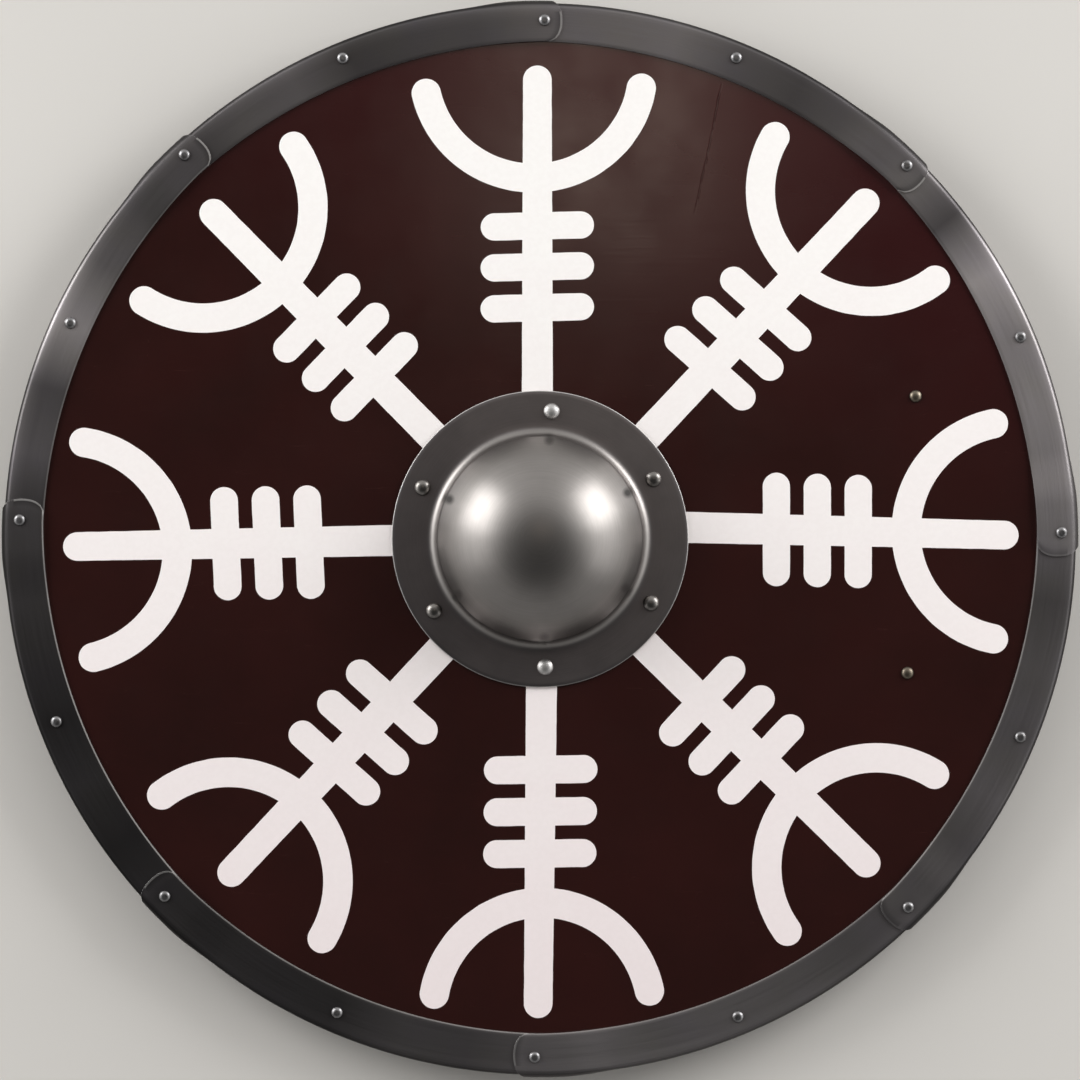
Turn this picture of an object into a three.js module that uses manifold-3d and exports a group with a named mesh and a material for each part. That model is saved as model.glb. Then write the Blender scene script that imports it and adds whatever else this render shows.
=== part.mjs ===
// A wooden round shield, 24 in across: a flat board edged with eight lapped strips of sheet steel, with a raised
// steel boss over its hand hole, and a steel grip and a leather forearm strap behind. It lies on its back.
// Millimetres and degrees. +Z is the way the face looks, +Y is the top of the face, and the middle of the strap, the
// lowest part, is at z = 0. Angles run anticlockwise from +X.

import * as THREE from "three";
import { mergeVertices } from "three/addons/utils/BufferGeometryUtils.js";
import Module from "manifold-3d";

const wasm = await Module();
wasm.setup();

// ---- Driving dimensions ----

const shieldRadius = 305; // outside of the rim where two strips lap
const boardThickness = 10;
const boardSides = 60; // flats round the board's edge
const fitGap = 0.3; // left between pieces that lie on each other

const rimSheet = 1.2;
const rimBendRadius = 1.5; // the line that the rim follows, at the board's edge
const backFlangeWidth = 18;
const edgeBow = 1.5; // how much wider the front flange is in the middle of a strip than at its laps
const lapLift = rimSheet + fitGap; // a strip's end stands this far out, to clear the strip below it
const liftEnds = 3.2; // degrees from a lap rivet to the end of the lifted part
const liftFades = 6.5; // degrees from a lap rivet to where the strip is down on the board
const underlap = 12; // how far a strip's start runs on under the strip above it
const tipDepth = 8.5; // depth of the round end of a strip
const tipMargin = 1; // the ellipse of the round end runs this much past the strip's edges
const plainSteps = 7; // flats in the plain part of a strip
const rimRivetCircle = 294; // roughly: each rivet was set by eye

// Each strip: where its own lap and middle rivets are, how far its round end runs on past the lap rivet, and the
// radius of its inner edge at the lap. Strips go anticlockwise from the right.
const strips = [
  { lap: 0.7, lapRivet: 295, tip: 13.5, middle: 22.8, middleRivet: 295, edge: 281.3 },
  { lap: 45.5, lapRivet: 296, tip: 13, middle: 67.8, middleRivet: 294, edge: 282.6 },
  { lap: 89.5, lapRivet: 293.5, tip: 10, middle: 112.3, middleRivet: 294, edge: 281.5 },
  { lap: 132.8, lapRivet: 296, tip: 12.5, middle: 155.3, middleRivet: 292.5, edge: 282.4 },
  { lap: 177.9, lapRivet: 294.5, tip: 12, middle: 200.7, middleRivet: 292.5, edge: 281.2 },
  { lap: 223.6, lapRivet: 293, tip: 12.5, middle: 246.8, middleRivet: 291.5, edge: 280 },
  { lap: 269.4, lapRivet: 293, tip: 12, middle: 292.5, middleRivet: 292.5, edge: 279.8 },
  { lap: 315, lapRivet: 294.5, tip: 13.5, middle: 337.6, middleRivet: 294, edge: 281 },
];

const bossSheet = 1.5;
const flangeRadius = 84;
const domeRadius = 58;
const domeHeight = 52; // above the underside of the flange
const domeFillet = 4; // where the dome springs from the flange
const domeSteps = 5;
const bossSides = 36;
const handHoleRadius = 57;
const bossRivetCircle = 72.5;
const bossRivetAngles = [84.8, 27.8, -30, -87.7, -145.8, 156.4]; // clockwise from the top
const gripRivets = [0, 3]; // the top and bottom boss rivets, which also hold the grip

const gripLength = 172;
const gripWidth = 25;
const gripThickness = 3.5;
const gripStep = 3; // how far the hand part stands off the board
const gripHandLength = 104;
const gripBend = 9; // length of the step's slope

const strapRivets = [
  [212.6, 80.8],
  [208, -75.8],
];
const strapWidth = 32;
const strapThickness = 3;
const strapEndLength = 17; // past each rivet
const strapLanding = 12; // flat on the board, inwards of each rivet
const strapFlatLength = 68; // the level middle, which the shield lies on
const strapClearance = 11; // under the middle
const strapCurveSteps = 6;

const shankRadius = 2.4;
const holeSides = 6;
const holeClearance = 0.15;
const rimRivet = { head: 3.3, headHeight: 1.9, tail: 3.6, tailHeight: 1.4, sides: 8 };
const bossRivet = { head: 4.6, headHeight: 2.8, tail: 4.4, tailHeight: 1.7, sides: 10 };
const strapRivet = { head: 3.5, headHeight: 2, tail: 5, tailHeight: 1.5, sides: 8 };

// ---- Sizes worked out from them ----

const seatRadius = shieldRadius - lapLift - rimSheet - fitGap; // the line that the rim follows, at distance 0
const boardRadius = seatRadius - 0.2; // the flats of the rim come this much nearer than its corners
const boardBack = strapThickness + strapClearance;
const boardFront = boardBack + boardThickness;
const boardMiddle = (boardFront + boardBack) / 2;
const rimStack = fitGap + rimSheet; // what one strip adds to each face of the board
const cutThrough = 80; // tall enough to cut right through the board and what lies on it
const cutMargin = 5; // how far a cutter runs past what it cuts

// ---- Materials ----

const finish = (color, roughness, metalness) => new THREE.MeshStandardMaterial({ color, roughness, metalness });
const paintedWood = finish(0x2a1614, 0.4, 0);
const rimSteel = finish(0x7d7f82, 0.42, 1);
const bossSteel = finish(0x8d8e90, 0.35, 1);
const brightRivetSteel = finish(0xb4b5b8, 0.25, 1);
const darkRivetSteel = finish(0x3a3838, 0.4, 1);
const gripSteel = finish(0x4a4a4c, 0.5, 1);
const strapLeather = finish(0x3b2418, 0.65, 0);

// ---- Geometry helpers ----

const degrees = THREE.MathUtils.degToRad;

// The point at a radius and an angle.
const polar = (radius, angle) => [radius * Math.cos(degrees(angle)), radius * Math.sin(degrees(angle))];

// The angle that an arc length spans on the rivets' circle.
const rimAngle = (length) => THREE.MathUtils.radToDeg(length / rimRivetCircle);

function toSolid(geometry) {
  const bare = geometry.clone();
  bare.deleteAttribute("normal");
  bare.deleteAttribute("uv");
  const merged = mergeVertices(bare, 1e-4);
  return new wasm.Manifold(
    new wasm.Mesh({
      numProp: 3,
      vertProperties: merged.attributes.position.array,
      triVerts: new Uint32Array(merged.index.array),
    }),
  );
}

function toGeometry(solid) {
  const { vertProperties, triVerts } = solid.getMesh();
  const geometry = new THREE.BufferGeometry();
  geometry.setAttribute("position", new THREE.BufferAttribute(vertProperties, 3));
  geometry.setIndex(new THREE.BufferAttribute(triVerts, 1));
  const faceted = geometry.toNonIndexed();
  faceted.computeVertexNormals();
  return faceted;
}

function mesh(name, geometry, material) {
  const made = new THREE.Mesh(geometry, material);
  made.name = name;
  return made;
}

// A turned shape about Z from [radius, height] points, going up its outside.
function turned(points, sides) {
  const profile = points.map(([radius, height]) => new THREE.Vector2(radius, height));
  return new THREE.LatheGeometry(profile, sides).rotateX(Math.PI / 2);
}

// A plate with the outline of a shape in XY, centred on z = 0.
function plate(shape, thickness) {
  const geometry = new THREE.ExtrudeGeometry(shape, { depth: thickness, bevelEnabled: false, curveSegments: 8 });
  return geometry.translate(0, 0, -thickness / 2);
}

// Cuts a clearance hole for a rivet's shank through a solid at each [x, y].
function drill(solid, places) {
  const radius = (shankRadius + holeClearance) / Math.cos(Math.PI / holeSides);
  return places.reduce((cut, [x, y]) => {
    const bit = new THREE.CylinderGeometry(radius, radius, cutThrough, holeSides);
    return cut.subtract(toSolid(bit.rotateX(Math.PI / 2).translate(x, y, 0)));
  }, solid);
}

// ---- Where the rivets are ----

const rimRivetPlaces = strips.flatMap((strip) => [
  { place: polar(strip.lapRivet, strip.lap), layers: 2 },
  { place: polar(strip.middleRivet, strip.middle), layers: 1 },
]);
const bossRivetPlaces = bossRivetAngles.map((angle) => polar(bossRivetCircle, angle));

// ---- Board ----

function board() {
  const half = boardThickness / 2;
  const bevel = rimBendRadius;
  const profile = [
    [handHoleRadius, -half],
    [boardRadius - bevel, -half],
    [boardRadius, bevel - half],
    [boardRadius, half - bevel],
    [boardRadius - bevel, half],
    [handHoleRadius, half],
    [handHoleRadius, -half],
  ];
  const disc = toSolid(turned(profile, boardSides));
  const holes = [...rimRivetPlaces.map(({ place }) => place), ...bossRivetPlaces, ...strapRivets];
  const made = mesh("board", toGeometry(drill(disc, holes)), paintedWood);
  made.position.z = boardMiddle;
  return made;
}

// ---- Rim ----

// Half of the rim's section on one side of its wall, as [radius, height] at a distance from the board.
function halfSection(distance, flangeEdge) {
  const half = boardThickness / 2;
  return [
    [flangeEdge, half + distance],
    [seatRadius - rimBendRadius, half + distance],
    [seatRadius + distance, half - rimBendRadius],
  ];
}

// The folded strip's section: a U round the board's edge, open towards the middle of the shield.
function rimSection(frontEdge) {
  const backEdge = shieldRadius - lapLift - backFlangeWidth;
  const down = ([radius, height]) => [radius, -height];
  const wrap = (distance) => [
    ...halfSection(distance, frontEdge),
    ...halfSection(distance, backEdge).map(down).reverse(),
  ];
  return [...wrap(fitGap), ...wrap(fitGap + rimSheet).reverse()];
}

// The radius of the front flange's inner edge, a given share of the way from a strip's own lap to the next.
function frontEdgeAt(share, strip, next) {
  const bow = edgeBow * (1 - (2 * share - 1) ** 2);
  return THREE.MathUtils.lerp(strip.edge, next.edge, share) - bow;
}

// How far a strip stands out at an angle from its own lap rivet.
function liftAt(angle) {
  return lapLift * THREE.MathUtils.clamp((liftFades - angle) / (liftFades - liftEnds), 0, 1);
}

// The angles, from a strip's own lap rivet, at which it is bent: from its hidden start to its round end.
function bendAngles(strip, next, span) {
  const plainStart = span - rimAngle(next.tip);
  const plain = Array.from({ length: plainSteps + 1 }, (_, i) =>
    THREE.MathUtils.lerp(plainStart, liftFades, i / plainSteps),
  );
  return [span + rimAngle(underlap), span, ...plain, liftEnds, 0, -rimAngle(strip.tip)];
}

// What is cut off a strip to leave its end round: the space round half an ellipse.
function tipCutter(strip) {
  const inner = strip.edge - tipMargin;
  const outer = shieldRadius + tipMargin;
  const start = tipDepth - strip.tip;
  const beyond = -strip.tip - cutMargin;
  const shape = new THREE.Shape();
  shape.moveTo(outer + cutMargin, beyond);
  shape.lineTo(outer + cutMargin, start);
  shape.lineTo(outer, start);
  shape.absellipse((inner + outer) / 2, start, (outer - inner) / 2, tipDepth, 0, Math.PI, true);
  shape.lineTo(inner - cutMargin, start);
  shape.lineTo(inner - cutMargin, beyond);
  return toSolid(plate(shape, cutThrough));
}

function rimStrip(strip, index) {
  const next = strips[(index + 1) % strips.length];
  const span = THREE.MathUtils.euclideanModulo(next.lap - strip.lap, 360);
  const angles = bendAngles(strip, next, span);
  const section = new THREE.Shape(rimSection(strip.edge).map((point) => new THREE.Vector2(...point)));
  const steps = angles.length - 1;
  const folded = new THREE.ExtrudeGeometry(section, { depth: steps, steps, bevelEnabled: false });

  // Bend the straight folded strip round the board: each step of its length goes to its own angle.
  const position = folded.attributes.position;
  for (let i = 0; i < position.count; i += 1) {
    const angle = angles[Math.round(position.getZ(i))];
    const lift = liftAt(angle);
    const height = position.getY(i);
    const onFlange = Math.abs(height) > boardThickness / 2;
    const atFrontEdge = height > 0 && Math.abs(position.getX(i) - strip.edge) < fitGap;
    const share = THREE.MathUtils.clamp(angle / span, 0, 1);
    const radius = atFrontEdge ? frontEdgeAt(share, strip, next) : position.getX(i) + (onFlange ? 0 : lift);
    position.setXYZ(i, ...polar(radius, angle), height + (onFlange ? lift * Math.sign(height) : 0));
  }

  const holes = [
    polar(strip.lapRivet, 0),
    polar(strip.middleRivet, strip.middle - strip.lap),
    polar(next.lapRivet, span),
  ];
  const trimmed = drill(toSolid(folded).subtract(tipCutter(strip)), holes);
  const made = mesh(`rim_strip_${index + 1}`, toGeometry(trimmed), rimSteel);
  made.rotation.z = degrees(strip.lap);
  made.position.z = boardMiddle;
  return made;
}

// ---- Boss ----

// The dome's section at a distance inside its outer face, from where it springs up to the crown.
function domeArc(inset) {
  const foot = bossSheet + domeFillet;
  return Array.from({ length: domeSteps + 1 }, (_, i) => {
    const rise = degrees((90 * i) / domeSteps);
    const radius = i === domeSteps ? 0 : (domeRadius - inset) * Math.cos(rise);
    return [radius, foot + (domeHeight - foot - inset) * Math.sin(rise)];
  });
}

function boss() {
  const filletMiddle = domeFillet * (1 - Math.SQRT1_2);
  const outside = [
    [flangeRadius, 0],
    [flangeRadius, bossSheet],
    [domeRadius + domeFillet, bossSheet],
    [domeRadius + filletMiddle, bossSheet + filletMiddle],
    ...domeArc(0),
  ];
  const inside = [[domeRadius + domeFillet - bossSheet, 0], ...domeArc(bossSheet)];
  const shell = toSolid(turned([...outside, ...inside.reverse(), outside[0]], bossSides));
  const made = mesh("boss", toGeometry(drill(shell, bossRivetPlaces)), bossSteel);
  made.position.z = boardFront + fitGap;
  return made;
}

// ---- Rivets ----

// A rivet with a domed head at headSeat and a clenched tail at tailSeat.
function rivet(name, size, [x, y], headSeat, tailSeat, material) {
  const profile = [
    [0, tailSeat - size.tailHeight],
    [size.tail, tailSeat],
    [shankRadius, tailSeat],
    [shankRadius, headSeat],
    [size.head, headSeat],
    [size.head * Math.SQRT1_2, headSeat + size.headHeight * Math.SQRT1_2],
    [0, headSeat + size.headHeight],
  ];
  const made = mesh(name, turned(profile, size.sides), material);
  made.position.set(x, y, 0);
  return made;
}

function rimRivets() {
  return rimRivetPlaces.map(({ place, layers }, i) => {
    const name = `rim_rivet_${String(i + 1).padStart(2, "0")}`;
    const seat = layers * rimStack + fitGap;
    return rivet(name, rimRivet, place, boardFront + seat, boardBack - seat, rimSteel);
  });
}

// The boss rivets that also hold the grip are bright and reach through it.
function bossRivets() {
  const headSeat = boardFront + fitGap + bossSheet + fitGap;
  return bossRivetPlaces.map((place, i) => {
    const holdsGrip = gripRivets.includes(i);
    const tailSeat = boardBack - (holdsGrip ? fitGap + gripThickness : 0) - fitGap;
    const material = holdsGrip ? brightRivetSteel : darkRivetSteel;
    return rivet(`boss_rivet_${i + 1}`, bossRivet, place, headSeat, tailSeat, material);
  });
}

function strapRivetPair() {
  const headSeat = boardFront + fitGap;
  const tailSeat = boardBack - fitGap - strapThickness - fitGap;
  return strapRivets.map((place, i) =>
    rivet(`strap_rivet_${i + 1}`, strapRivet, place, headSeat, tailSeat, darkRivetSteel),
  );
}

// ---- Grip and strap: bars held at two rivets, one above the other ----

// Cuts a bar, whose side view is in the YZ plane, to round ends, drills it and sets it between two rivets.
function barBetween(name, sideView, width, length, [top, bottom], material) {
  const span = new THREE.Vector2(top[0] - bottom[0], top[1] - bottom[1]);
  const outline = new THREE.Shape();
  const straight = length / 2 - width / 2;
  outline.absarc(0, straight, width / 2, 0, Math.PI, false);
  outline.absarc(0, -straight, width / 2, Math.PI, 2 * Math.PI, false);

  const side = new THREE.Shape(sideView.map((point) => new THREE.Vector2(...point)));
  const slab = new THREE.ExtrudeGeometry(side, { depth: width + 2 * cutMargin, bevelEnabled: false });
  slab.translate(0, 0, -width / 2 - cutMargin);
  slab.rotateX(Math.PI / 2).rotateZ(Math.PI / 2);
  const rounded = toSolid(slab).intersect(toSolid(plate(outline, cutThrough)));
  const holes = [1, -1].map((end) => [0, (end * span.length()) / 2]);

  const made = mesh(name, toGeometry(drill(rounded, holes)), material);
  made.position.set((top[0] + bottom[0]) / 2, (top[1] + bottom[1]) / 2, boardBack - fitGap);
  made.rotation.z = span.angle() - Math.PI / 2;
  return made;
}

// The top of the bar is at height 0; its middle steps down, so the hand has room behind the board.
function grip() {
  const half = gripLength / 2;
  const hand = gripHandLength / 2;
  const top = [
    [-half, 0],
    [-hand - gripBend, 0],
    [-hand, -gripStep],
    [hand, -gripStep],
    [hand + gripBend, 0],
    [half, 0],
  ];
  const underside = top.map(([along, height]) => [along, height - gripThickness]);
  const ends = gripRivets.map((i) => bossRivetPlaces[i]);
  return barBetween("grip", [...underside, ...top.reverse()], gripWidth, gripLength, ends, gripSteel);
}

// How far the strap hangs off the board at a distance along it from its middle.
function strapDrop(along, rivetSpan) {
  const slopeStart = strapFlatLength / 2;
  const slopeEnd = rivetSpan / 2 - strapLanding;
  const share = THREE.MathUtils.clamp((Math.abs(along) - slopeStart) / (slopeEnd - slopeStart), 0, 1);
  return ((strapClearance - fitGap) * (1 + Math.cos(Math.PI * share))) / 2;
}

function forearmStrap() {
  const [[topX, topY], [bottomX, bottomY]] = strapRivets;
  const rivetSpan = Math.hypot(topX - bottomX, topY - bottomY);
  const half = rivetSpan / 2 + strapEndLength;
  const slopeStart = strapFlatLength / 2;
  const slopeEnd = rivetSpan / 2 - strapLanding;
  const slope = Array.from({ length: strapCurveSteps + 1 }, (_, i) =>
    THREE.MathUtils.lerp(slopeStart, slopeEnd, i / strapCurveSteps),
  );
  const right = [...slope, half];
  const along = [...right.map((y) => -y).reverse(), ...right];
  const top = along.map((y) => [y, -strapDrop(y, rivetSpan)]);
  const underside = top.map(([y, height]) => [y, height - strapThickness]);
  const length = 2 * half;
  return barBetween(
    "forearm_strap",
    [...underside, ...top.reverse()],
    strapWidth,
    length,
    strapRivets,
    strapLeather,
  );
}

// ---- The shield ----

const shield = new THREE.Group();
shield.name = "round_shield";
shield.add(board());
shield.add(...strips.map(rimStrip));
shield.add(...rimRivets());
shield.add(boss());
shield.add(...bossRivets());
shield.add(...strapRivetPair());
shield.add(grip());
shield.add(forearmStrap());

export default shield;
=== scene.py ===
"""A wooden round shield dressed round its solids: painted board, steel rim and boss, rivets, grip, strap."""

import math

import bmesh
import bpy
import numpy as np
from bpy.props import FloatProperty, FloatVectorProperty, IntProperty
from mathutils import Matrix, Vector, noise
from mathutils.geometry import delaunay_2d_cdt


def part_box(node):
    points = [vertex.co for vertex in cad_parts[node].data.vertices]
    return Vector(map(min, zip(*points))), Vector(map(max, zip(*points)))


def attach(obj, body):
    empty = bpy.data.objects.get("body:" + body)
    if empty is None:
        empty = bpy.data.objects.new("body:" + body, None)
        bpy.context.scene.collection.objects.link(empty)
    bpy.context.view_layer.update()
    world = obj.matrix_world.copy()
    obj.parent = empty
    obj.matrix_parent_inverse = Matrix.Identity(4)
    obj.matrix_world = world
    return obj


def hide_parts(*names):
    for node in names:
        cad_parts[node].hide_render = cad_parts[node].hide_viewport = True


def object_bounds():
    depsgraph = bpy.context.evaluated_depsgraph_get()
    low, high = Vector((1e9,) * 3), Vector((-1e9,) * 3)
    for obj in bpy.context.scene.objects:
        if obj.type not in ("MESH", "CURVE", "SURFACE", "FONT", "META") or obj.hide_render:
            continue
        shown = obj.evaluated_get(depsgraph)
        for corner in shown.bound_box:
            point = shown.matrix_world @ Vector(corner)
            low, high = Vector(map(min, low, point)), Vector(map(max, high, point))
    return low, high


bl_info = {
    "name": "Round Shield",
    "version": (1, 0, 0),
    "blender": (4, 5, 0),
    "location": "3D View > Sidebar > Shield",
    "description": "Builds the finished pieces of a wooden round shield round its solids",
    "category": "Object",
}

# ---- What the solids give. +Z is the way the face looks, +Y is its top, and the strap lies on z = 0 ----

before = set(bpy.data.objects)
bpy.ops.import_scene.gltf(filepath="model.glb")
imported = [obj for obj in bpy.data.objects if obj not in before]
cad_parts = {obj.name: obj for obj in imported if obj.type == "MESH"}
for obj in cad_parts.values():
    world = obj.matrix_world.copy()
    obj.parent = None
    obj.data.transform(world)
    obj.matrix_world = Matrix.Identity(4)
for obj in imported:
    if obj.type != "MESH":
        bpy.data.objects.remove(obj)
cad_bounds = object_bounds()
MM = 0.001
STRIPS = 8
BLACK = (0.0, 0.0, 0.0)
board_low, board_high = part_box("board")
boss_low, boss_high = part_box("boss")
strap_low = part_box("forearm_strap")[0]
board_middle = (board_low.z + board_high.z) / 2
board_thickness = board_high.z - board_low.z
rim_outside = min(cad_bounds[1].x, cad_bounds[1].y, -cad_bounds[0].x, -cad_bounds[0].y)
FIT_GAP = boss_low.z - board_high.z


def centre(node):
    """The middle of a node's box."""
    low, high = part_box(node)
    return (low + high) / 2


def rim_rivet(index):
    """The name of a rim rivet: odd numbers hold the laps and even ones the middles of the strips."""
    return f"rim_rivet_{index:02d}"


def turn_of(point):
    """The angle of a point round the shield, anticlockwise from +X."""
    return math.atan2(point[1], point[0])


# ---- Properties ----


def length(name, description, default):
    return FloatProperty(name=name, description=description, default=default, unit="LENGTH", precision=5)


def angle(name, description, degrees):
    return FloatProperty(name=name, description=description, default=math.radians(degrees), subtype="ANGLE")


def share(name, description, default):
    return FloatProperty(name=name, description=description, default=default, min=0, max=1, subtype="FACTOR")


def plain_number(name, description, default, least):
    return FloatProperty(name=name, description=description, default=default, min=least)


def whole_number(name, description, default, least):
    return IntProperty(name=name, description=description, default=default, min=least)


def shade(red, green, blue):
    """A colour for the shaders from the red, green and blue of a paint chart, 0 to 255."""
    chart = (red / 255, green / 255, blue / 255)
    return tuple(c / 12.92 if c <= 0.04045 else ((c + 0.055) / 1.055) ** 2.4 for c in chart)


def colour(name, description, red, green, blue):
    paint = {"default": shade(red, green, blue), "subtype": "COLOR", "size": 3, "min": 0, "max": 1}
    return FloatVectorProperty(name=name, description=description, **paint)


class BoardSettings(bpy.types.PropertyGroup):
    hand_hole: length("Hand hole", "Radius of the hole behind the boss", 57 * MM)
    edge_round: length("Edge round", "Radius of the board's rounded edges", 1.5 * MM)
    coat: length("Coat", "Thickness of the ground coat of paint", 0.06 * MM)
    plies: whole_number("Plies", "Layers in the board", 7, 3)
    ground: colour("Ground", "The dark maroon ground coat", 36, 16, 14)
    ground_light: colour("Ground, light", "The ground coat where it is thin", 45, 19, 17)
    # Painted light: the ground coat's colour up on the right, where it is drawn lighter and redder.
    ground_painted_light: colour("Ground, sunned", "The ground coat up on the right, where it has faded", 50, 17, 19)
    wood: colour("Wood", "The stained back of the board", 96, 58, 34)
    wood_dark: colour("Wood, dark", "The dark grain of the back", 52, 28, 16)
    gloss: share("Gloss", "Roughness of the ground coat", 0.16)


class StaveSettings(bpy.types.PropertyGroup):
    stem_start: length("Stem start", "Where a stem starts, under the boss's flange", 70 * MM)
    stem_end: length("Stem end", "Where a stem ends, from the middle of the shield", 269.4 * MM)
    stem_width: length("Stem width", "Half of a stem's width at its start", 8.8 * MM)
    stem_end_width: length("Stem end width", "Half of a stem's width at its end", 8.1 * MM)
    first_bar: length("First bar", "Where the inner cross bar is", 130.9 * MM)
    bar_spacing: length("Bar spacing", "From one cross bar to the next", 23.4 * MM)
    bar_reach: length("Bar reach", "Half of a cross bar's length", 32.1 * MM)
    bar_width: length("Bar width", "Half of a cross bar's width", 7.8 * MM)
    bar_tilt: angle("Bar tilt", "How far the cross bars lean", 1.4)
    arc_centre: length("Arc centre", "Where the arc's centre is on the stem", 267.2 * MM)
    arc_offset: length("Arc offset", "How far the arc's centre is to one side", -2.3 * MM)
    arc_radius: length("Arc radius", "Radius of the arc's middle line", 62.1 * MM)
    arc_width: length("Arc width", "Half of the arc's width", 8.3 * MM)
    arc_left: angle("Arc left", "How far the arc goes round on its left", 77.3)
    arc_right: angle("Arc right", "How far the arc goes round on its right", 80.1)
    coat: length("Coat", "Thickness of the white paint", 0.12 * MM)
    white: colour("White", "The painted stave", 252, 249, 246)
    # Painted shade: the stave's colour low down, darker and pinker, also used where the paint is thin.
    white_thin_and_shaded: colour("White, thin", "The stave where it is handled and dusty, low down", 242, 231, 231)


class RimSettings(bpy.types.PropertyGroup):
    sheet: length("Sheet", "Thickness of the rim's sheet steel", 1.2 * MM)
    bend: length("Bend", "Radius of the line that the rim follows at the board's edge", 1.5 * MM)
    seat: length("Seat", "Radius of the line that the rim follows", 302 * MM)
    back_flange: length("Back flange", "Radius of the back flange's edge", 285.5 * MM)
    edge_bow: length("Edge bow", "How much wider a strip is in its middle than at its laps", 1.5 * MM)
    lift_ends: angle("Lift ends", "From a lap rivet to the end of the lifted part", 3.2)
    lift_fades: angle("Lift fades", "From a lap rivet to where the strip is down", 9.0)
    tip_depth: length("Tip depth", "Depth of a strip's round end", 9.5 * MM)
    tip_margin: length("Tip margin", "How far the round end's curve runs past the strip's sides", 0.4 * MM)
    tip_squareness: plain_number("Tip squareness", "2 makes a round end an ellipse, more is squarer", 2.3, 1)
    wave: length("Wave", "How far hand work left the flanges out of flat", 0.22 * MM)
    dent: length("Dent", "How far a rivet drew the sheet in", 0.12 * MM)
    press: length("Press", "How far a strip's round end is hammered down", 0.24 * MM)
    cut_round: length("Cut round", "How far the cut edges are filed round", 0.5 * MM)
    dark: colour("Dark", "The darker steel", 179, 173, 178)
    light: colour("Light", "The brighter steel", 200, 195, 192)
    cut: colour("Cut edge", "The bright filed edges", 226, 224, 222)
    # Painted shade: how dark it is drawn inside a strip's round end.
    end_shade: share("End shade", "How dark the dirt lies inside a strip's round end", 0.35)
    bend_shade: share("Bend shade", "How much darker a strip is round its bend", 0.82)


class BossSettings(bpy.types.PropertyGroup):
    sheet: length("Sheet", "Thickness of the boss's sheet steel", 1.5 * MM)
    collar: length("Collar", "Radius of the collar under the dome", 58 * MM)
    crown: length("Crown", "Radius of the ball that the dome is raised to", 68 * MM)
    shoulder: length("Shoulder", "Radius from the dome into the collar", 6 * MM)
    fillet: length("Fillet", "Radius where the dome springs from the flange", 6 * MM)
    sides: whole_number("Sides", "Steps round the boss", 180, 24)
    planish: length("Planish", "Depth of the marks that the raising left", 0.1 * MM)
    dark: colour("Dark", "The darker steel of the dome", 138, 134, 131)
    light: colour("Light", "The brighter steel of the dome", 154, 150, 147)
    # Painted shade: how dark the dome's foot is drawn, most towards the bottom.
    foot_shade: share("Foot dirt", "How dark the dirt lies round the dome's foot", 0.3)
    dome_tone: colour("Dome tone", "What the dome keeps of the steel's brightness", 246, 246, 246)
    flange_tone: colour("Flange tone", "What the flange keeps of the steel's brightness", 255, 251, 255)
    # Painted shade and random oil: what the flange keeps where it is drawn darker.
    flange_oil_and_shade: FloatVectorProperty(
        name="Flange oil",
        description="What the flange keeps where it is oiled",
        default=(0.4, 0.38, 0.42),
        subtype="COLOR",
        min=0,
        max=1,
    )


class RivetSettings(bpy.types.PropertyGroup):
    shank: length("Shank", "Radius of every shank", 2.4 * MM)
    rim_head: length("Rim head", "Radius of the rim rivets' heads", 3.3 * MM)
    rim_head_height: length("Rim head height", "Height of the rim rivets' heads", 1.9 * MM)
    rim_tail: length("Rim tail", "Radius of the rim rivets' clenched tails", 3.6 * MM)
    boss_head: length("Boss head", "Radius of the boss rivets' heads", 4.6 * MM)
    boss_head_height: length("Boss head height", "Height of the boss rivets' heads", 2.8 * MM)
    boss_tail: length("Boss tail", "Radius of the boss rivets' clenched tails", 4.4 * MM)
    strap_head: length("Strap head", "Radius of the strap rivets' heads", 3.5 * MM)
    strap_head_height: length("Strap head height", "Height of the strap rivets' heads", 2 * MM)
    strap_tail: length("Strap tail", "Radius of the strap rivets' clenched tails", 5 * MM)
    rim_tail_height: length("Rim tail height", "Height of the rim rivets' clenched tails", 1.4 * MM)
    boss_tail_height: length("Boss tail height", "Height of the boss rivets' clenched tails", 1.7 * MM)
    strap_tail_height: length("Strap tail height", "Height of the strap rivets' clenched tails", 1.4 * MM)
    dimple: length("Dimple", "Depth of the dimple in the rim rivets' heads", 0.25 * MM)
    lean: angle("Lean", "How far off straight a hand-set head sits, at the most", 2.5)
    bright: colour("Bright", "The polished heads", 214, 212, 210)
    strap: colour("Strap", "The heads that hold the forearm strap", 128, 119, 106)
    rim: colour("Rim", "The heads along the rim", 156, 155, 156)
    dark: colour("Dark", "The oiled heads", 150, 146, 142)


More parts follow.
